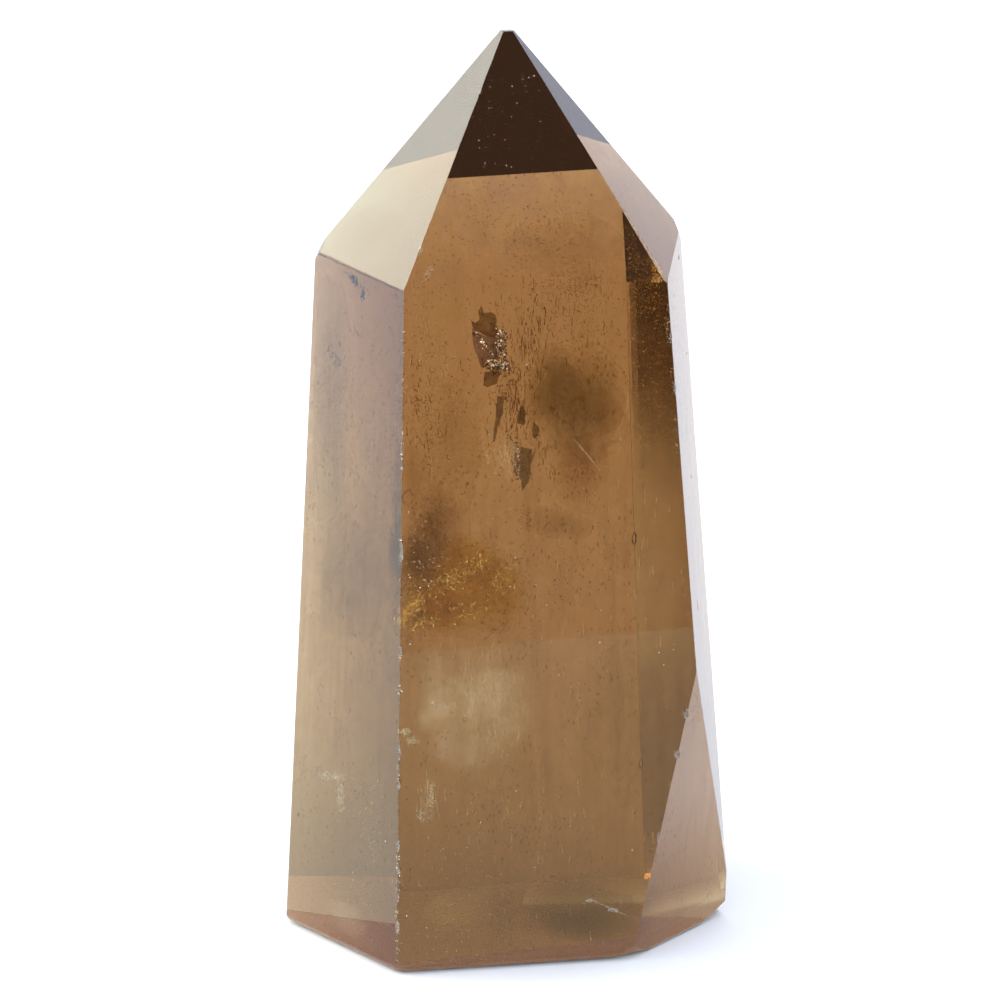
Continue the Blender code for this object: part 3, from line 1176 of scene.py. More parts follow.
@dataclass
class CrystalBody:
    """The polished crystal: flat faces with a mirror polish, and frosted chips and pits."""

    weld: float = 0.001 * MM
    rim_weld: float = 0.02 * MM
    sharp_from: float = 24.0             # degrees
    main_area: float = 6.0 * MM * MM
    same_plane: float = 0.012 * MM
    chip_from: float = 0.035 * MM
    rim_top: float = 1.7 * MM
    fine_rim: float = 0.22 * MM
    rim_looks: tuple[float, float] = (-0.995, -0.03)     # how far its faces look down, as cosines
    plane_like: float = 0.999                            # cosines, as those below are
    strip_like: float = 0.985
    foot_down: float = -0.9
    seen_from_front: float = 0.3
    strip_looks: Vector = field(default_factory=lambda: facing_way(41.0, 34.0))
    planes: list[tuple[Vector, float]] = field(default_factory=list)
    polished: PolishedQuartz = PolishedQuartz()
    frosted: FreshBreak = FreshBreak()
    strip: FreshBreak = FreshBreak("worn_strip", (1.0, 0.72, 0.45), (0.5, 0.26, 0.12), 0.4)
    # The foot's frosted ground finish is real; its darker brown is painted shade from the shadowed floor
    # under it.
    foot: FreshBreak = FreshBreak("ground_foot_painted_shade", (0.86, 0.60, 0.36), (0.66, 0.43, 0.24), 0.12,
                                  gloss=0.3, relief=0.002 * MM)

    def is_fine_rim(self, face: bmesh.types.BMFace) -> bool:
        """Whether a face is one of the finest rims behind the foot."""
        down = self.rim_looks[0] < face.normal.z < self.rim_looks[1]
        return down and face.normal.y > 0.0 and face.calc_center_median().z < self.fine_rim

    def copy_of_node(self, node: bpy.types.Object) -> bpy.types.Mesh:
        """Copy the ground solid's mesh, with the finest rims behind its foot closed to an edge.

        Args:
            node: the solid's object.
        Returns:
            The welded copy.
        """
        ground = bmesh.new()
        ground.from_mesh(node.data)
        bmesh.ops.remove_doubles(ground, verts=ground.verts, dist=self.weld)
        eased = [corner for corner in ground.verts if any(map(self.is_fine_rim, corner.link_faces))]
        for corner in eased:
            if corner.co.z < 1.5 * self.fine_rim:
                corner.co.z = 0.0
        bmesh.ops.remove_doubles(ground, verts=eased, dist=self.rim_weld)
        bmesh.ops.recalc_face_normals(ground, faces=ground.faces)
        return baked("polished_crystal", ground)

    def main_planes(self, mesh: bpy.types.Mesh) -> list[tuple[Vector, float]]:
        """Find the planes of the big ground faces.

        Args:
            mesh: the crystal's mesh.
        Returns:
            A normal and a distance for each plane.
        """
        planes: list[tuple[Vector, float]] = []
        for face in sorted(mesh.polygons, key=lambda one: -one.area):
            level = face.normal.dot(face.center)
            known = any(face.normal.dot(normal) > SAME_WAY and abs(level - other) < self.same_plane
                        for normal, other in planes)
            if not known and face.area > self.main_area:
                planes.append((face.normal.copy(), level))
        return planes

    def skin(self, face: bpy.types.MeshPolygon, on_plane: bool, depth: float) -> Skin:
        """Choose a face's finish.

        Args:
            face: the face.
            on_plane: whether it is one of the big ground faces.
            depth: how far it lies under the nearest of them.
        Returns:
            The finish.
        """
        if face.normal.dot(self.strip_looks) > self.strip_like and not on_plane:
            return Skin.STRIP
        if face.normal.z < self.foot_down and face.center.z < self.rim_top:
            return Skin.FOOT
        scooped = depth > self.chip_from and face.center.z > self.rim_top
        return Skin.FROSTED if scooped and face.normal.y < self.seen_from_front else Skin.POLISHED

    def finish_faces(self, mesh: bpy.types.Mesh) -> None:
        """Leave the big faces flat, smooth the eased edges, and give each face its finish.

        Args:
            mesh: the crystal's mesh.
        """
        for face in mesh.polygons:
            depths = [level - normal.dot(face.center) for normal, level in self.planes]
            on_plane = any(abs(depth) < self.same_plane and face.normal.dot(normal) > self.plane_like
                           for depth, (normal, _) in zip(depths, self.planes))
            face.use_smooth = not on_plane
            face.material_index = self.skin(face, on_plane, min(depths))

    def build(self, node: bpy.types.Object) -> bpy.types.Object:
        """Make the crystal's piece, which stands for the CAD node.

        Args:
            node: the node's object.
        Returns:
            The piece.
        """
        mesh = self.copy_of_node(node)
        self.planes = self.main_planes(mesh)
        mesh.set_sharp_from_angle(angle=math.radians(self.sharp_from))
        piece = new_piece("polished_crystal", mesh, self.polished.material())
        for finish in (self.frosted, self.strip, self.foot):
            mesh.materials.append(finish.material())
        self.finish_faces(mesh)
        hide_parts(NODE)
        return piece


# ------------------------------------------------------------------ what lies in the crystal
# Each film: its outline in the frame, and its depth.
FILMS = (
    Film("fissure_upper", DARK_FILM, (
        (481.4, 305.7), (483.4, 312.7), (488.9, 312.2), (494, 313.2), (496, 316.5), (496.5, 325.4),
        (498, 331.7), (494.7, 338.5), (489.7, 338), (481.4, 333), (474.8, 330.4), (472, 325.4),
        (471.2, 320.8), (475.8, 322.8), (478.8, 320.3), (478.3, 311.5)), depth=3, seed=2),
    Film("fissure_red", RED_FILM, (
        (472.6, 328), (476, 332), (484, 336), (499, 337.5), (501, 350.6), (497.3, 360.7),
        (483.4, 368.3), (480.3, 365.8), (475.8, 353.2), (473.4, 344.3)), 3.2, seed=3),
    Film("fissure_lower", DARK_FILM, (
        (484.6, 372.1), (493, 371), (501, 373.4), (497.3, 383.5), (487.2, 387.3), (482.9, 385.5)),
        3.3, seed=4),
    Film("fissure_stalk", DARK_FILM, (
        (497.3, 396.1), (504.9, 397.4), (503.1, 408.7), (499.8, 421.4), (497.3, 432.7), (494.7, 441.6),
        (491.5, 443.6), (493.6, 434), (495.6, 418.8), (496.4, 403.7)), 3, seed=5),
    Film("fissure_diamond", DARK_FILM, (
        (522, 405), (526.3, 413.8), (524.3, 425.2), (517.5, 423.9), (519.3, 411.3)), 3.6, seed=6),
    Film("fissure_chip", DARK_FILM, (
        (532.6, 421.4), (539.5, 427.7), (538.4, 436.5), (533.9, 439.1), (531.8, 430)), 3.4, seed=7),
    Film("fissure_long", DARK_FILM, (
        (520.8, 446.1), (526.3, 447.9), (532.4, 449.2), (532.9, 458), (530.9, 469.4), (529.4, 480.7),
        (525, 487), (521.3, 492.1), (521.8, 482), (518.7, 475.7), (520, 464.3), (518.2, 456.7)),
        3.2, seed=8),
)

# Each cloud: its column and row, half its width and height, its depth and half its thickness.
CLOUDS = (
    Cloud("smoke_middle", OLIVE, 574, 404, 44, 52, 8, 2.2, seed=1),
    Cloud("smoke_right", SMOKY, 590, 394, 32, 38, 9, 1.8, seed=2),
    Cloud("smoke_left", OLIVE, 553, 388, 25, 40, 7, 2.2, seed=3),
    Cloud("smoke_foot", SMOKY, 586, 426, 36, 30, 8, 1.8, seed=4),
    Cloud("smoke_tail", RUSTY, 579, 470, 24, 40, 8, 3.2, seed=6),
    Cloud("rust_top", DENSE, 434, 508, 20, 28, 5, 1.3, seed=7),
    Cloud("rust_middle", DENSE, 427, 548, 21, 38, 4.5, 2.7, seed=8),
    Cloud("rust_edge", DENSE, 415, 556, 13, 22, 3.5, 1.7, seed=42),
    Cloud("rust_left", DENSE, 414, 480, 12, 36, 3.2, 0.9, seed=43),
    Cloud("amber_top", AMBER, 468, 562, 34, 26, 5, 1.9, seed=44),
    Cloud("rust_side", RUSTY, 449, 535, 20, 40, 6, 1.6, seed=9),
    Cloud("rust_low", RUSTY, 424, 580, 20, 26, 4.5, 1.5, seed=10),
    Cloud("amber_left", AMBER, 434, 600, 29, 36, 4, 1.7, seed=11),
    Cloud("amber_middle", AMBER, 472, 594, 44, 40, 5.5, 2.2, seed=12),
    Cloud("amber_right", AMBER, 502, 594, 25, 34, 6, 1.2, seed=13),
    Cloud("amber_low", AMBER, 440, 614, 34, 20, 4, 1.5, seed=37),
    Cloud("smoke_wing", DENSE, 556, 523, 34, 14, 6, 1, roll=12, seed=17),
    Cloud("tip_smoke", RUSTY, 566, 246, 52, 30, 5, 1, seed=22),
    Cloud("shoulder_smoke", RUSTY, 366, 231, 24, 20, 4.2, 1.6, seed=24),
    Cloud("amber_edge", DENSE, 420, 618, 16, 10, 3.5, 1.3, seed=39),
    Cloud("left_rust", RUSTY, 452, 440, 26, 62, 6, 1.6, seed=23),
    Cloud("foot_smoke", DENSE, 580, 908, 66, 30, 5, 2.1, seed=18),
    Cloud("foot_smoke_right", DENSE, 590, 926, 46, 16, 4.2, 1.4, seed=40),
    Cloud("yellow_foot", YELLOW_HAZE, 452, 912, 36, 24, 0.8, 0.05, uneven=0.2, seed=45, turn=FRONT_TURN),
    # The pale patches: milky haze, and a painted reflection of the pale floor as well.
    Cloud("pale_patch", HAZE_AND_PAINTED_REFLECTION, 478, 712, 60, 72, 0.5, 0.06, uneven=0.1, seed=31, turn=FRONT_TURN),
    Cloud("pale_patch_middle", HAZE_AND_PAINTED_REFLECTION, 496, 696, 50, 44, 0.8, 0.06, uneven=0.1, seed=32, turn=FRONT_TURN),
    Cloud("pale_patch_left", HAZE_AND_PAINTED_REFLECTION, 436, 694, 24, 48, 0.6, 0.06, uneven=0.1, seed=36, turn=FRONT_TURN),
    Cloud("yellow_patch", YELLOW_HAZE, 503, 456, 17, 22, 0.8, 0.05, uneven=0.3, seed=33, turn=FRONT_TURN),
    Cloud("pale_foot", HAZE_AND_PAINTED_REFLECTION, 346, 916, 26, 12, 0.8, 0.05, uneven=0.1, seed=34, turn=FRONT_LEFT_TURN),
    Cloud("foot_smoke_left", RUSTY, 502, 912, 12, 26, 4, 0.8, seed=19),
    Cloud("side_smoke", RUSTY, 626, 720, 30, 70, 5, 0.8, seed=20),
    Cloud("left_haze", SMOKY, 330, 430, 16, 90, 4.2, 2.9, seed=21),
    Cloud("left_smoke", SMOKY, 348, 578, 30, 34, 5, 1.6, seed=14),
    Cloud("left_smoke_low", RUSTY, 342, 602, 22, 20, 4.5, 1.2, seed=15),
    Cloud("left_smoke_side", RUSTY, 366, 566, 20, 44, 5, 1.2, seed=16),
)

# Each patch: its column and row, half its width and height, its depths, its share and its slant.
SWARMS = (
    Swarm("corner_sparks", BRIGHT_GLINT, Form.CRUMB, 80, (
        Patch(424, 552, 15, 34, 0.15, 0.7, 1.2), Patch(440, 590, 34, 34, 0.15, 0.7, 0.9),
        Patch(500, 640, 80, 60, 0.15, 0.7, 0.6), Patch(440, 940, 34, 16, 0.15, 0.7, 0.4)),
        size=(0.07, 0.19), stretch=(1, 1, 1.2), soft=False, seed=56),
    Swarm("fissure_glints", SILVER_CRUMB, Form.CRUMB, 110, (
        Patch(501.5, 343, 4, 13, 2.2, 2.45, 1.2), Patch(497, 364, 10, 5, 2.2, 2.5, 1.8),
        Patch(483, 342, 1.2, 10, 2.3, 2.5, 0.5, 0.75), Patch(516.5, 458, 2.2, 17, 2.3, 2.6, 0.5)),
        size=(0.16, 0.40), stretch=(1, 1, 1.3), soft=False, seed=51),
    Swarm("fissure_streaks", SOOT_SPECK, Form.NEEDLE, 420, (
        Patch(530, 340, 22, 46, 1.2, 5, 1.6), Patch(514, 400, 14, 38, 2.4, 4, 1.2),
        Patch(548, 460, 26, 40, 1.5, 5, 0.4), Patch(424, 420, 18, 60, 0.8, 4, 0.6)),
        size=(0.22, 0.85), stretch=(0.13, 0.13, 1), lie=Lie.UPRIGHT, wobble=9, seed=52),
    Swarm("gold_glints", GOLD_FLAKE, Form.PLATE, 150, (
        Patch(411.5, 607, 6, 10, 0.3, 0.7, 1.8, -0.9), Patch(447, 580, 14, 14, 0.4, 0.9, 0.8, -0.9),
        Patch(476, 566, 12, 16, 0.4, 0.9, 0.5, -0.9), Patch(425, 622, 16, 6, 0.3, 0.8, 0.4)),
        size=(0.14, 0.4), stretch=(0.16, 1.9, 0.6), lie=Lie.FACING, wobble=12, lean=36, seed=53),
    Swarm("shoulder_line", SOOT_SPECK, Form.CRUMB, 520, (
        Patch(358.5, 272, 1.4, 19, 0.08, 0.35, 1, 2.18),),
        size=(0.04, 0.10), soft=False, seed=54),
    Swarm("band_glow", GOLD_FLAKE, Form.CRUMB, 300, (
        Patch(657, 273, 5, 9, 0.15, 1, 1),),
        size=(0.05, 0.13), soft=False, seed=55),
    Swarm("fissure_crumbs", SILVER_CRUMB, Form.CRUMB, 190, (
        Patch(501.5, 343, 4.5, 13, 2.5, 2.9, 1.2), Patch(496, 364, 11, 6, 2.5, 3, 1.8),
        Patch(483, 342, 1.6, 10, 2.6, 2.9, 0.6, 0.75), Patch(517, 460, 2.6, 18, 2.7, 3, 0.5)),
        size=(0.10, 0.32), stretch=(1, 1, 1.5), seed=21),
    Swarm("fissure_rims", SOOT_SPECK, Form.CRUMB, 170, (
        Patch(501.5, 343, 5, 13, 2.5, 2.9, 1.2), Patch(496, 365, 12, 7, 2.5, 3, 1.8),
        Patch(483, 342, 2.2, 10, 2.6, 2.9, 0.6, 0.75), Patch(517, 460, 3, 18, 2.7, 3, 0.6)),
        size=(0.12, 0.30), stretch=(1, 1, 1.6), seed=47),
    Swarm("fissure_grit", SOOT_SPECK, Form.CRUMB, 900, (
        Patch(500, 350, 8, 20, 2.7, 3.4), Patch(496, 367, 13, 9, 2.7, 3.4, 1.3),
        Patch(505, 392, 9, 22, 2.7, 4), Patch(516, 460, 4, 20, 2.7, 3.4, 0.7),
        Patch(418, 399, 9, 7, 2, 3, 0.35), Patch(512, 390, 24, 46, 2.7, 6, 1.2),
        Patch(528, 519, 5, 11, 2.5, 3.4, 0.3), Patch(536, 433, 6, 14, 2.8, 3.6, 0.4)),
        size=(0.04, 0.14), stretch=(1, 1, 1.6), seed=22),
    Swarm("front_specks", SOOT_SPECK, Form.CRUMB, 3000, (
        Patch(515, 400, 120, 130, 0.4, 14), Patch(572, 300, 55, 60, 0.4, 9, 0.7),
        Patch(430, 420, 28, 130, 0.4, 7, 0.6), Patch(520, 560, 110, 100, 0.4, 12, 0.5),
        Patch(545, 800, 150, 160, 0.4, 10, 0.35), Patch(540, 235, 70, 45, 0.4, 5, 0.4)),
        size=(0.04, 0.13), stretch=(1, 1, 1.5), seed=23),
    Swarm("front_dashes", FAINT_STREAK, Form.NEEDLE, 900, (
        Patch(520, 400, 110, 120, 0.5, 12), Patch(585, 310, 40, 60, 0.5, 8),
        Patch(520, 560, 110, 110, 0.5, 10, 0.5), Patch(560, 880, 130, 90, 0.5, 8, 0.5),
        Patch(530, 225, 70, 50, 0.5, 5, 0.3)),
        size=(0.15, 0.6), stretch=(0.12, 0.12, 1), lie=Lie.UPRIGHT, wobble=6, seed=24),
    Swarm("front_splinters", SOOT_SPECK, Form.NEEDLE, 150, (
        Patch(525, 390, 60, 90, 0.6, 6), Patch(585, 300, 40, 50, 0.5, 6, 0.5),
        Patch(508, 420, 22, 60, 2.5, 4, 1), Patch(530, 740, 14, 30, 0.6, 3, 0.2)),
        size=(0.2, 0.8), stretch=(0.12, 0.12, 1), lie=Lie.UPRIGHT, wobble=12, seed=25),
    Swarm("pale_wisps", MILKY_FLECK, Form.NEEDLE, 1500, (
        Patch(505, 455, 16, 20, 0.5, 1.6, 0.4), Patch(485, 700, 50, 50, 0.3, 1.6, 1.2),
        Patch(520, 820, 110, 120, 0.6, 7), Patch(605, 560, 60, 150, 0.6, 8, 0.7),
        Patch(428, 800, 12, 22, 0.4, 2, 0.3), Patch(430, 350, 30, 90, 0.6, 6, 0.3)),
        size=(0.25, 1.3), stretch=(0.08, 0.08, 1), lie=Lie.UPRIGHT, wobble=5, seed=26),
    Swarm("gold_feathers", GOLD_FLAKE, Form.PLATE, 1700, (
        Patch(412, 608, 8, 13, 0.4, 2, 1.7, -0.8), Patch(446, 580, 20, 18, 0.5, 2.6, 0.8, -0.9),
        Patch(474, 566, 16, 20, 0.6, 3, 0.6, -0.9), Patch(500, 580, 14, 24, 0.6, 3, 0.6, -0.5),
        Patch(425, 622, 22, 8, 0.4, 2.4, 0.5), Patch(470, 612, 40, 14, 0.5, 2.6, 0.5)),
        size=(0.06, 0.36), stretch=(0.16, 1.9, 0.6), lie=Lie.FACING, wobble=14, lean=36, seed=27),
    Swarm("rust_feathers", RUST_FLAKE, Form.PLATE, 900, (
        Patch(432, 530, 24, 40, 1.5, 4, 1.4), Patch(440, 600, 40, 32, 1.5, 4, 1.2),
        Patch(490, 600, 40, 32, 2, 5, 0.7)),
        size=(0.05, 0.26), stretch=(0.3, 1.5, 0.7), lie=Lie.FACING, wobble=18, lean=20, seed=28),
    Swarm("front_sparks", SILVER_CRUMB, Form.CRUMB, 380, (
        Patch(500, 560, 105, 90, 0.2, 4, 1.4), Patch(540, 780, 140, 170, 0.2, 4, 1.2),
        Patch(425, 560, 26, 60, 0.2, 3, 0.9), Patch(520, 340, 100, 50, 0.2, 4, 0.4),
        Patch(505, 120, 36, 48, 0.2, 1, 0.6)),
        size=(0.08, 0.2), soft=False, seed=29),
    Swarm("band_sparks", GOLD_FLAKE, Form.CRUMB, 1800, (
        Patch(631, 244, 6, 20, 0.3, 2, 0.6, 0.3), Patch(643, 283, 17, 30, 0.3, 4, 2),
        Patch(650, 330, 20, 36, 0.3, 4, 1.2), Patch(655, 400, 18, 50, 0.3, 4, 0.7)),
        size=(0.03, 0.09), soft=False, seed=30),
    Swarm("front_left_edge", SILVER_CRUMB, Form.CRUMB, 330, (
        Patch(400.2, 552, 1.6, 14, 0.12, 0.5, 1.2), Patch(398.8, 652, 1.6, 9, 0.12, 0.5, 0.8),
        Patch(398.6, 690, 1.4, 5, 0.12, 0.5, 0.4), Patch(398.2, 762, 1.6, 26, 0.12, 0.5, 1.4),
        Patch(397.8, 870, 1.8, 28, 0.12, 0.5, 1.4), Patch(397.6, 935, 2.2, 26, 0.12, 0.5, 1.2),
        Patch(401.6, 450, 1.6, 22, 0.12, 0.5, 0.9), Patch(399.6, 600, 1.4, 60, 0.12, 0.5, 0.5),
        Patch(403, 350, 1.4, 50, 0.12, 0.5, 0.3)),
        size=(0.05, 0.17), soft=False, seed=31),
    Swarm("front_left_edge_grit", SOOT_SPECK, Form.CRUMB, 420, (
        Patch(400.6, 552, 2.4, 16, 0.2, 0.8), Patch(398.6, 700, 2, 90, 0.2, 0.8),
        Patch(398, 880, 2.4, 80, 0.2, 0.8), Patch(402.4, 400, 2, 100, 0.2, 0.8),
        Patch(404, 494, 1.2, 6, 0.3, 1, 0.3, -1.3)),
        size=(0.04, 0.13), soft=False, seed=32),
    Swarm("right_edge", SILVER_CRUMB, Form.CRUMB, 220, (
        Patch(663, 276, 4, 6, 0.1, 0.5, 0.8), Patch(668, 325, 2, 20, 0.1, 0.5, 1, 0.07),
        Patch(673, 382, 2, 14, 0.1, 0.5, 0.6, 0.07), Patch(677, 436, 2, 18, 0.1, 0.5, 0.7, 0.07),
        Patch(685, 600, 2.5, 60, 0.1, 0.6, 0.3, 0.08), Patch(685, 714, 3.5, 5, 0.1, 0.5, 0.4),
        Patch(676, 755, 3, 4, 0.1, 0.5, 0.4), Patch(655, 845, 3, 12, 0.1, 0.5, 0.3),
        Patch(677, 802, 1.4, 1.6, 0.1, 0.3, 0.06), Patch(671, 812, 1.4, 1.6, 0.1, 0.3, 0.05),
        Patch(678, 819, 1.4, 1.6, 0.1, 0.3, 0.05)),
        size=(0.05, 0.14), soft=False, seed=33),
    Swarm("left_crumbs", SILVER_CRUMB, Form.CRUMB, 300, (
        Patch(318, 771, 4, 5, 0.2, 1.5, 0.9), Patch(330, 778, 12, 4, 0.2, 1.5, 0.7),
        Patch(319, 688, 2, 10, 0.2, 1, 0.4), Patch(340, 790, 6, 12, 0.3, 2, 0.3),
        Patch(297, 750, 3, 6, 0.1, 0.6, 0.3), Patch(352, 880, 2, 10, 0.2, 1, 0.3),
        Patch(372, 945, 9, 6, 0.1, 0.8, 0.5), Patch(350, 700, 40, 220, 0.2, 4, 1.7),
        Patch(350, 560, 36, 50, 0.2, 3, 0.5)),
        size=(0.07, 0.16), soft=False, seed=34),
    Swarm("left_specks", SLATE_SPECK, Form.CRUMB, 800, (
        Patch(354, 280, 3.5, 8, 0.2, 0.8, 1.4, 0.5), Patch(363, 294, 2.5, 7, 0.2, 0.8, 0.8),
        Patch(335, 357, 5, 11, 0.2, 0.9, 0.6, 0.8), Patch(350, 420, 34, 130, 0.3, 5, 2),
        Patch(345, 570, 36, 50, 0.3, 5, 1), Patch(340, 800, 40, 130, 0.3, 5, 0.6)),
        size=(0.05, 0.17), stretch=(1, 1, 1.4), seed=35),
    Swarm("left_wisps", MILKY_FLECK, Form.CRUMB, 2600, (
        Patch(330, 776, 13, 5, 0.3, 1.5, 1), Patch(341, 795, 4, 18, 0.4, 2, 1),
        Patch(370, 830, 12, 60, 0.4, 3, 1), Patch(350, 900, 24, 40, 0.4, 3, 0.8),
        Patch(316, 470, 6, 120, 0.4, 2, 0.6)),
        size=(0.04, 0.14), stretch=(1, 1, 1.8), seed=36),
    Swarm("left_streak", RUST_FLAKE, Form.NEEDLE, 700, (
        Patch(352, 440, 4, 80, 0.6, 2.5, 1), Patch(356, 330, 10, 8, 0.6, 2.5, 0.3),
        Patch(330, 620, 22, 50, 0.6, 3, 0.5)),
        size=(0.1, 0.4), stretch=(0.15, 0.15, 1), lie=Lie.UPRIGHT, wobble=8, seed=37),
    Swarm("front_wisps", MILKY_FLECK, Form.CRUMB, 3000, (
        Patch(406, 731, 4, 3, 0.3, 0.8, 0.8), Patch(412, 741, 7, 4, 0.3, 0.8, 0.8),
        Patch(431, 795, 3, 18, 0.3, 1, 0.7), Patch(421, 816, 5, 7, 0.3, 1, 0.4),
        Patch(440, 706, 16, 3, 0.4, 1.5, 0.5), Patch(490, 725, 24, 22, 0.5, 3, 0.8),
        Patch(612, 909, 1.4, 9, 0.15, 0.5, 0.5, 2.2), Patch(587.5, 455, 0.7, 15, 0.12, 0.3, 0.4, 0.85),
        Patch(470, 870, 50, 60, 0.5, 4, 1)),
        size=(0.03, 0.12), stretch=(1, 1, 1.8), seed=38),
    Swarm("pyramid_marks", MILKY_FLECK, Form.CRUMB, 420, (
        Patch(428, 273, 4, 10, 0.12, 0.5, 1, -0.5), Patch(421, 249, 2, 5, 0.12, 0.4, 0.5)),
        size=(0.04, 0.12), seed=39),
    Swarm("foot_grains", SILVER_CRUMB, Form.CRUMB, 180, (
        Patch(470, 950, 70, 8, 0.1, 1, 1), Patch(360, 940, 34, 8, 0.1, 0.8, 0.6, 1.8),
        Patch(560, 940, 60, 8, 0.1, 1, 0.6)),
        size=(0.04, 0.11), soft=False, seed=40),
    Swarm("foot_dashes", SOOT_SPECK, Form.NEEDLE, 160, (
        Patch(495, 935, 14, 24, 0.3, 3, 1), Patch(600, 900, 70, 50, 0.3, 4, 0.6)),
        size=(0.15, 0.5), stretch=(0.14, 0.14, 1), lie=Lie.UPRIGHT, wobble=14, seed=41),
)

# Painted shade under the back-right face, where the dark band shows.
BAND_SHADE = ShadeSheet("band_painted_shade", BandShade(), 115.06, 2.66)


# ------------------------------------------------------------------ the set
@dataclass(frozen=True)
class Softbox:
    """A patch of the bright surroundings, full within its inner angle and gone at its outer one."""

    towards: Colour
    inner: float
    outer: float
    light: Colour


@dataclass(frozen=True)
class Card:
    """A studio card that shows only as a mirror image in the polish, or only through the crystal.

    Its centre and sides are in millimetres.  Its light changes from its lower end to its upper
    one, after it is turned about itself by some degrees.
    """

    name: str
    centre: Colour
    faces: Colour
    across: float
    high: float
    light: Colour
    light_above: Colour
    turned: float = 0.0
    seen_through: bool = False
    unevenness: float = 0.04

    def rim_fade(self, graph: Graph) -> bpy.types.NodeSocket:
        """Lay a fade that ends at the card's rim.

        Args:
            graph: the card's graph.
        Returns:
            The fade's socket.
        """
        fades = [graph.spread(graph.math("ABSOLUTE", graph.along(axis)), half * MM, 0.5 * half * MM)
                 for axis, half in (("X", 0.5 * self.across), ("Y", 0.5 * self.high))]
        return graph.math("MULTIPLY", *fades)

    def material(self) -> bpy.types.Material:
        """Build the card's glowing material.

        Returns:
            The material.
        """
        material, graph, shader = blank_material(self.name)
        reach = self.high * MM * 0.5
        weave = Mottle.place(graph, Scale=30.0)
        uneven = graph.math("MULTIPLY", weave.outputs["Mask"], self.unevenness)
        share = graph.math("ADD", graph.spread(graph.along("Y"), -reach, reach), uneven)
        graph.feed(shader, {
            "Emission Color": graph.blend(share, self.light, self.light_above),
            "Emission Strength": 1.0,
            "Base Color": (0.0, 0.0, 0.0, 1.0),
            "Specular IOR Level": 0.0})
        if self.seen_through:
            graph.feed(shader, {"Alpha": self.rim_fade(graph)})
        return material

    def build(self) -> bpy.types.Object:
        """Make the card.

        Returns:
            The card.
        """
        sheet = bmesh.new()
        scale = Matrix.Diagonal((self.across * MM, self.high * MM, 1.0, 1.0))
        bmesh.ops.create_grid(sheet, x_segments=1, y_segments=1, size=0.5, matrix=scale)
        card = new_object(self.name, baked(self.name, sheet), self.material())
        card.location = Vector(self.centre) * MM
        about_itself = Euler((0.0, 0.0, math.radians(self.turned))).to_quaternion()
        card.rotation_euler = (Vector(self.faces).to_track_quat("Z", "Y") @ about_itself).to_euler()
        card.visible_camera = False
        card.visible_diffuse = False
        card.visible_glossy = not self.seen_through
        card.visible_transmission = self.seen_through
        card.visible_shadow = False
        return card


UP: Colour = (0.0, 0.0, 1.0)
BACK: Colour = (0.0, 1.0, 0.0)
SHADE: Colour = (0.27, 0.12, 0.05)
AMBER_SHADE: Colour = (0.85, 0.42, 0.22)
RIGHT_LIGHT: Colour = (2.3, 2.68, 2.9)
BACK_LIGHT: Colour = (1.27, 1.42, 1.60)
BOUNCE: Colour = (1.7, 1.9, 2.05)


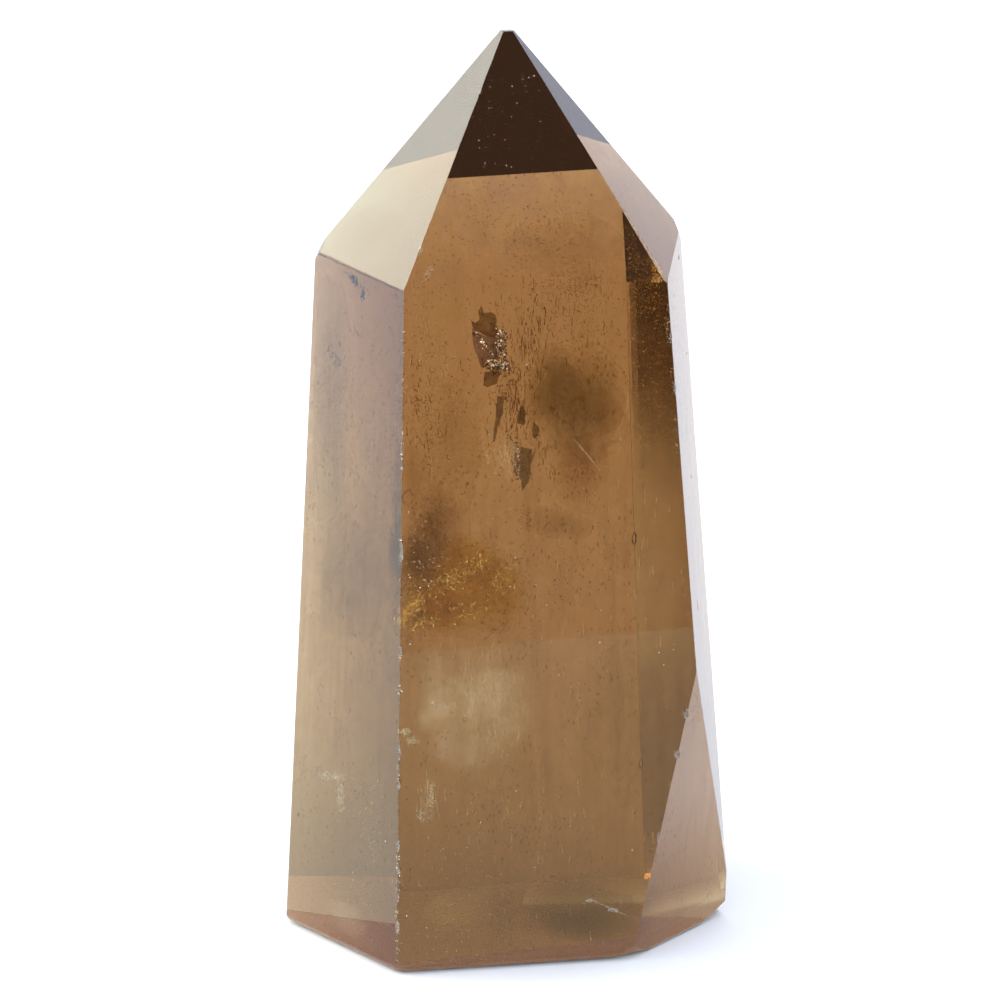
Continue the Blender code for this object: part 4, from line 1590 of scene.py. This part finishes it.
@dataclass
class Studio:
    """The pale floor, the soft light from all round, and the cards that the polish mirrors."""

    floor_side: float = 3.0
    floor_gap: float = 0.05 * MM
    floor_tone: Colour = (0.9, 0.9, 0.9)
    all_round: Colour = (1.36, 1.48, 1.68)
    boxes: tuple[Softbox, ...] = (
        Softbox((-0.87, 0.16, 0.47), 14.0, 24.0, (8.6, 8.1, 7.1)),
        Softbox((0.62, 0.74, 0.26), 14.0, 24.0, (1.9, 1.9, 2.2)),
    )
    cards: tuple[Card, ...] = (
        Card("front_flag", (75.0, -163.0, 19.0), BACK, 300.0, 38.0, (0.66, 0.74, 0.55), SHADE),
        Card("front_flag_above", (75.0, -163.0, 111.0), BACK, 300.0, 146.0, SHADE, SHADE),
        Card("front_floor_card", (60.0, -92.0, 0.5), UP, 200.0, 142.0,
             (1.35, 1.42, 1.02), (0.92, 1.20, 0.90)),
        Card("upper_flag", (75.0, -190.0, 290.0), (0.0, 1.0, -1.0), 340.0, 220.0, AMBER_SHADE, AMBER_SHADE),
        Card("left_floor_card", (-225.0, 25.0, 0.5), UP, 150.0, 400.0,
             (1.1, 1.95, 2.85), (2.2, 2.6, 2.3), turned=90.0),
        Card("right_floor_near", (37.0, -8.0, 0.5), UP, 32.0, 34.0,
             (1.25, 1.25, 1.15), RIGHT_LIGHT, turned=90.0),
        Card("right_floor_card", (79.0, -8.0, 0.5), UP, 50.0, 32.0, RIGHT_LIGHT, RIGHT_LIGHT),
        Card("back_floor_card", (95.0, 172.0, 0.5), UP, 190.0, 326.0, BACK_LIGHT, BACK_LIGHT),
        Card("back_bounce_card", (-66.0, 34.0, 0.6), UP, 92.0, 56.0, BOUNCE, BOUNCE, seen_through=True),
    )

    def floor(self) -> bpy.types.Object:
        """Make the floor.

        Returns:
            The floor.
        """
        material, graph, shader = blank_material("pale_floor")
        mottle = Mottle.place(graph, Scale=60.0)
        darker = tuple(part * 0.99 for part in self.floor_tone)
        graph.feed(shader, {
            "Base Color": graph.blend(mottle.outputs["Mask"], self.floor_tone, darker),
            "Roughness": 0.9,
            "Specular IOR Level": 0.0})
        sheet = bmesh.new()
        bmesh.ops.create_grid(sheet, x_segments=2, y_segments=2, size=self.floor_side / 2)
        floor = new_object("floor", baked("floor", sheet), material)
        floor.location.z = -self.floor_gap
        return floor

    def surroundings(self) -> None:
        """Light the set from all round, with a few brighter soft patches."""
        world = bpy.data.worlds.new("studio")
        bpy.context.scene.world = world
        world.use_nodes = True
        graph = Graph(world.node_tree)
        towards = graph.add("ShaderNodeTexCoord").outputs["Generated"]
        tone: object = self.all_round
        for box in self.boxes:
            facing = graph.cosine(towards, tuple(Vector(box.towards).normalized()))
            rim, full = (math.cos(math.radians(angle)) for angle in (box.outer, box.inner))
            tone = graph.blend(graph.spread(facing, rim, full), tone, box.light)
        graph.feed(world.node_tree.nodes["Background"], {"Color": tone})

    def build(self) -> None:
        """Build the set, and let light pass through all that lies in the crystal."""
        self.floor()
        self.surroundings()
        for card in self.cards:
            card.build()
        scene = bpy.context.scene
        scene.view_settings.view_transform = "Standard"
        scene.cycles.max_bounces = 32
        scene.cycles.transmission_bounces = 32
        scene.cycles.glossy_bounces = 16
        scene.cycles.transparent_max_bounces = 64


def report(piece: bpy.types.Object) -> None:
    """Tell a finished piece's name and how many faces it has."""
    log.info("%s: %d faces", piece.name, len(piece.data.polygons))


def main() -> None:
    """Build the set, the crystal and what it holds."""
    logging.basicConfig(level=logging.INFO, format="%(message)s")
    EYE.build()
    Studio().build()
    crystal = CrystalBody()
    body = crystal.build(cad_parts[NODE])
    report(body)
    solid = Solid(body.data, crystal.planes)
    for part in FILMS + CLOUDS + SWARMS:
        report(part.build(solid))
    report(BAND_SHADE.build(body.data))
    bpy.context.view_layer.update()


if __name__ == "__main__":
    main()
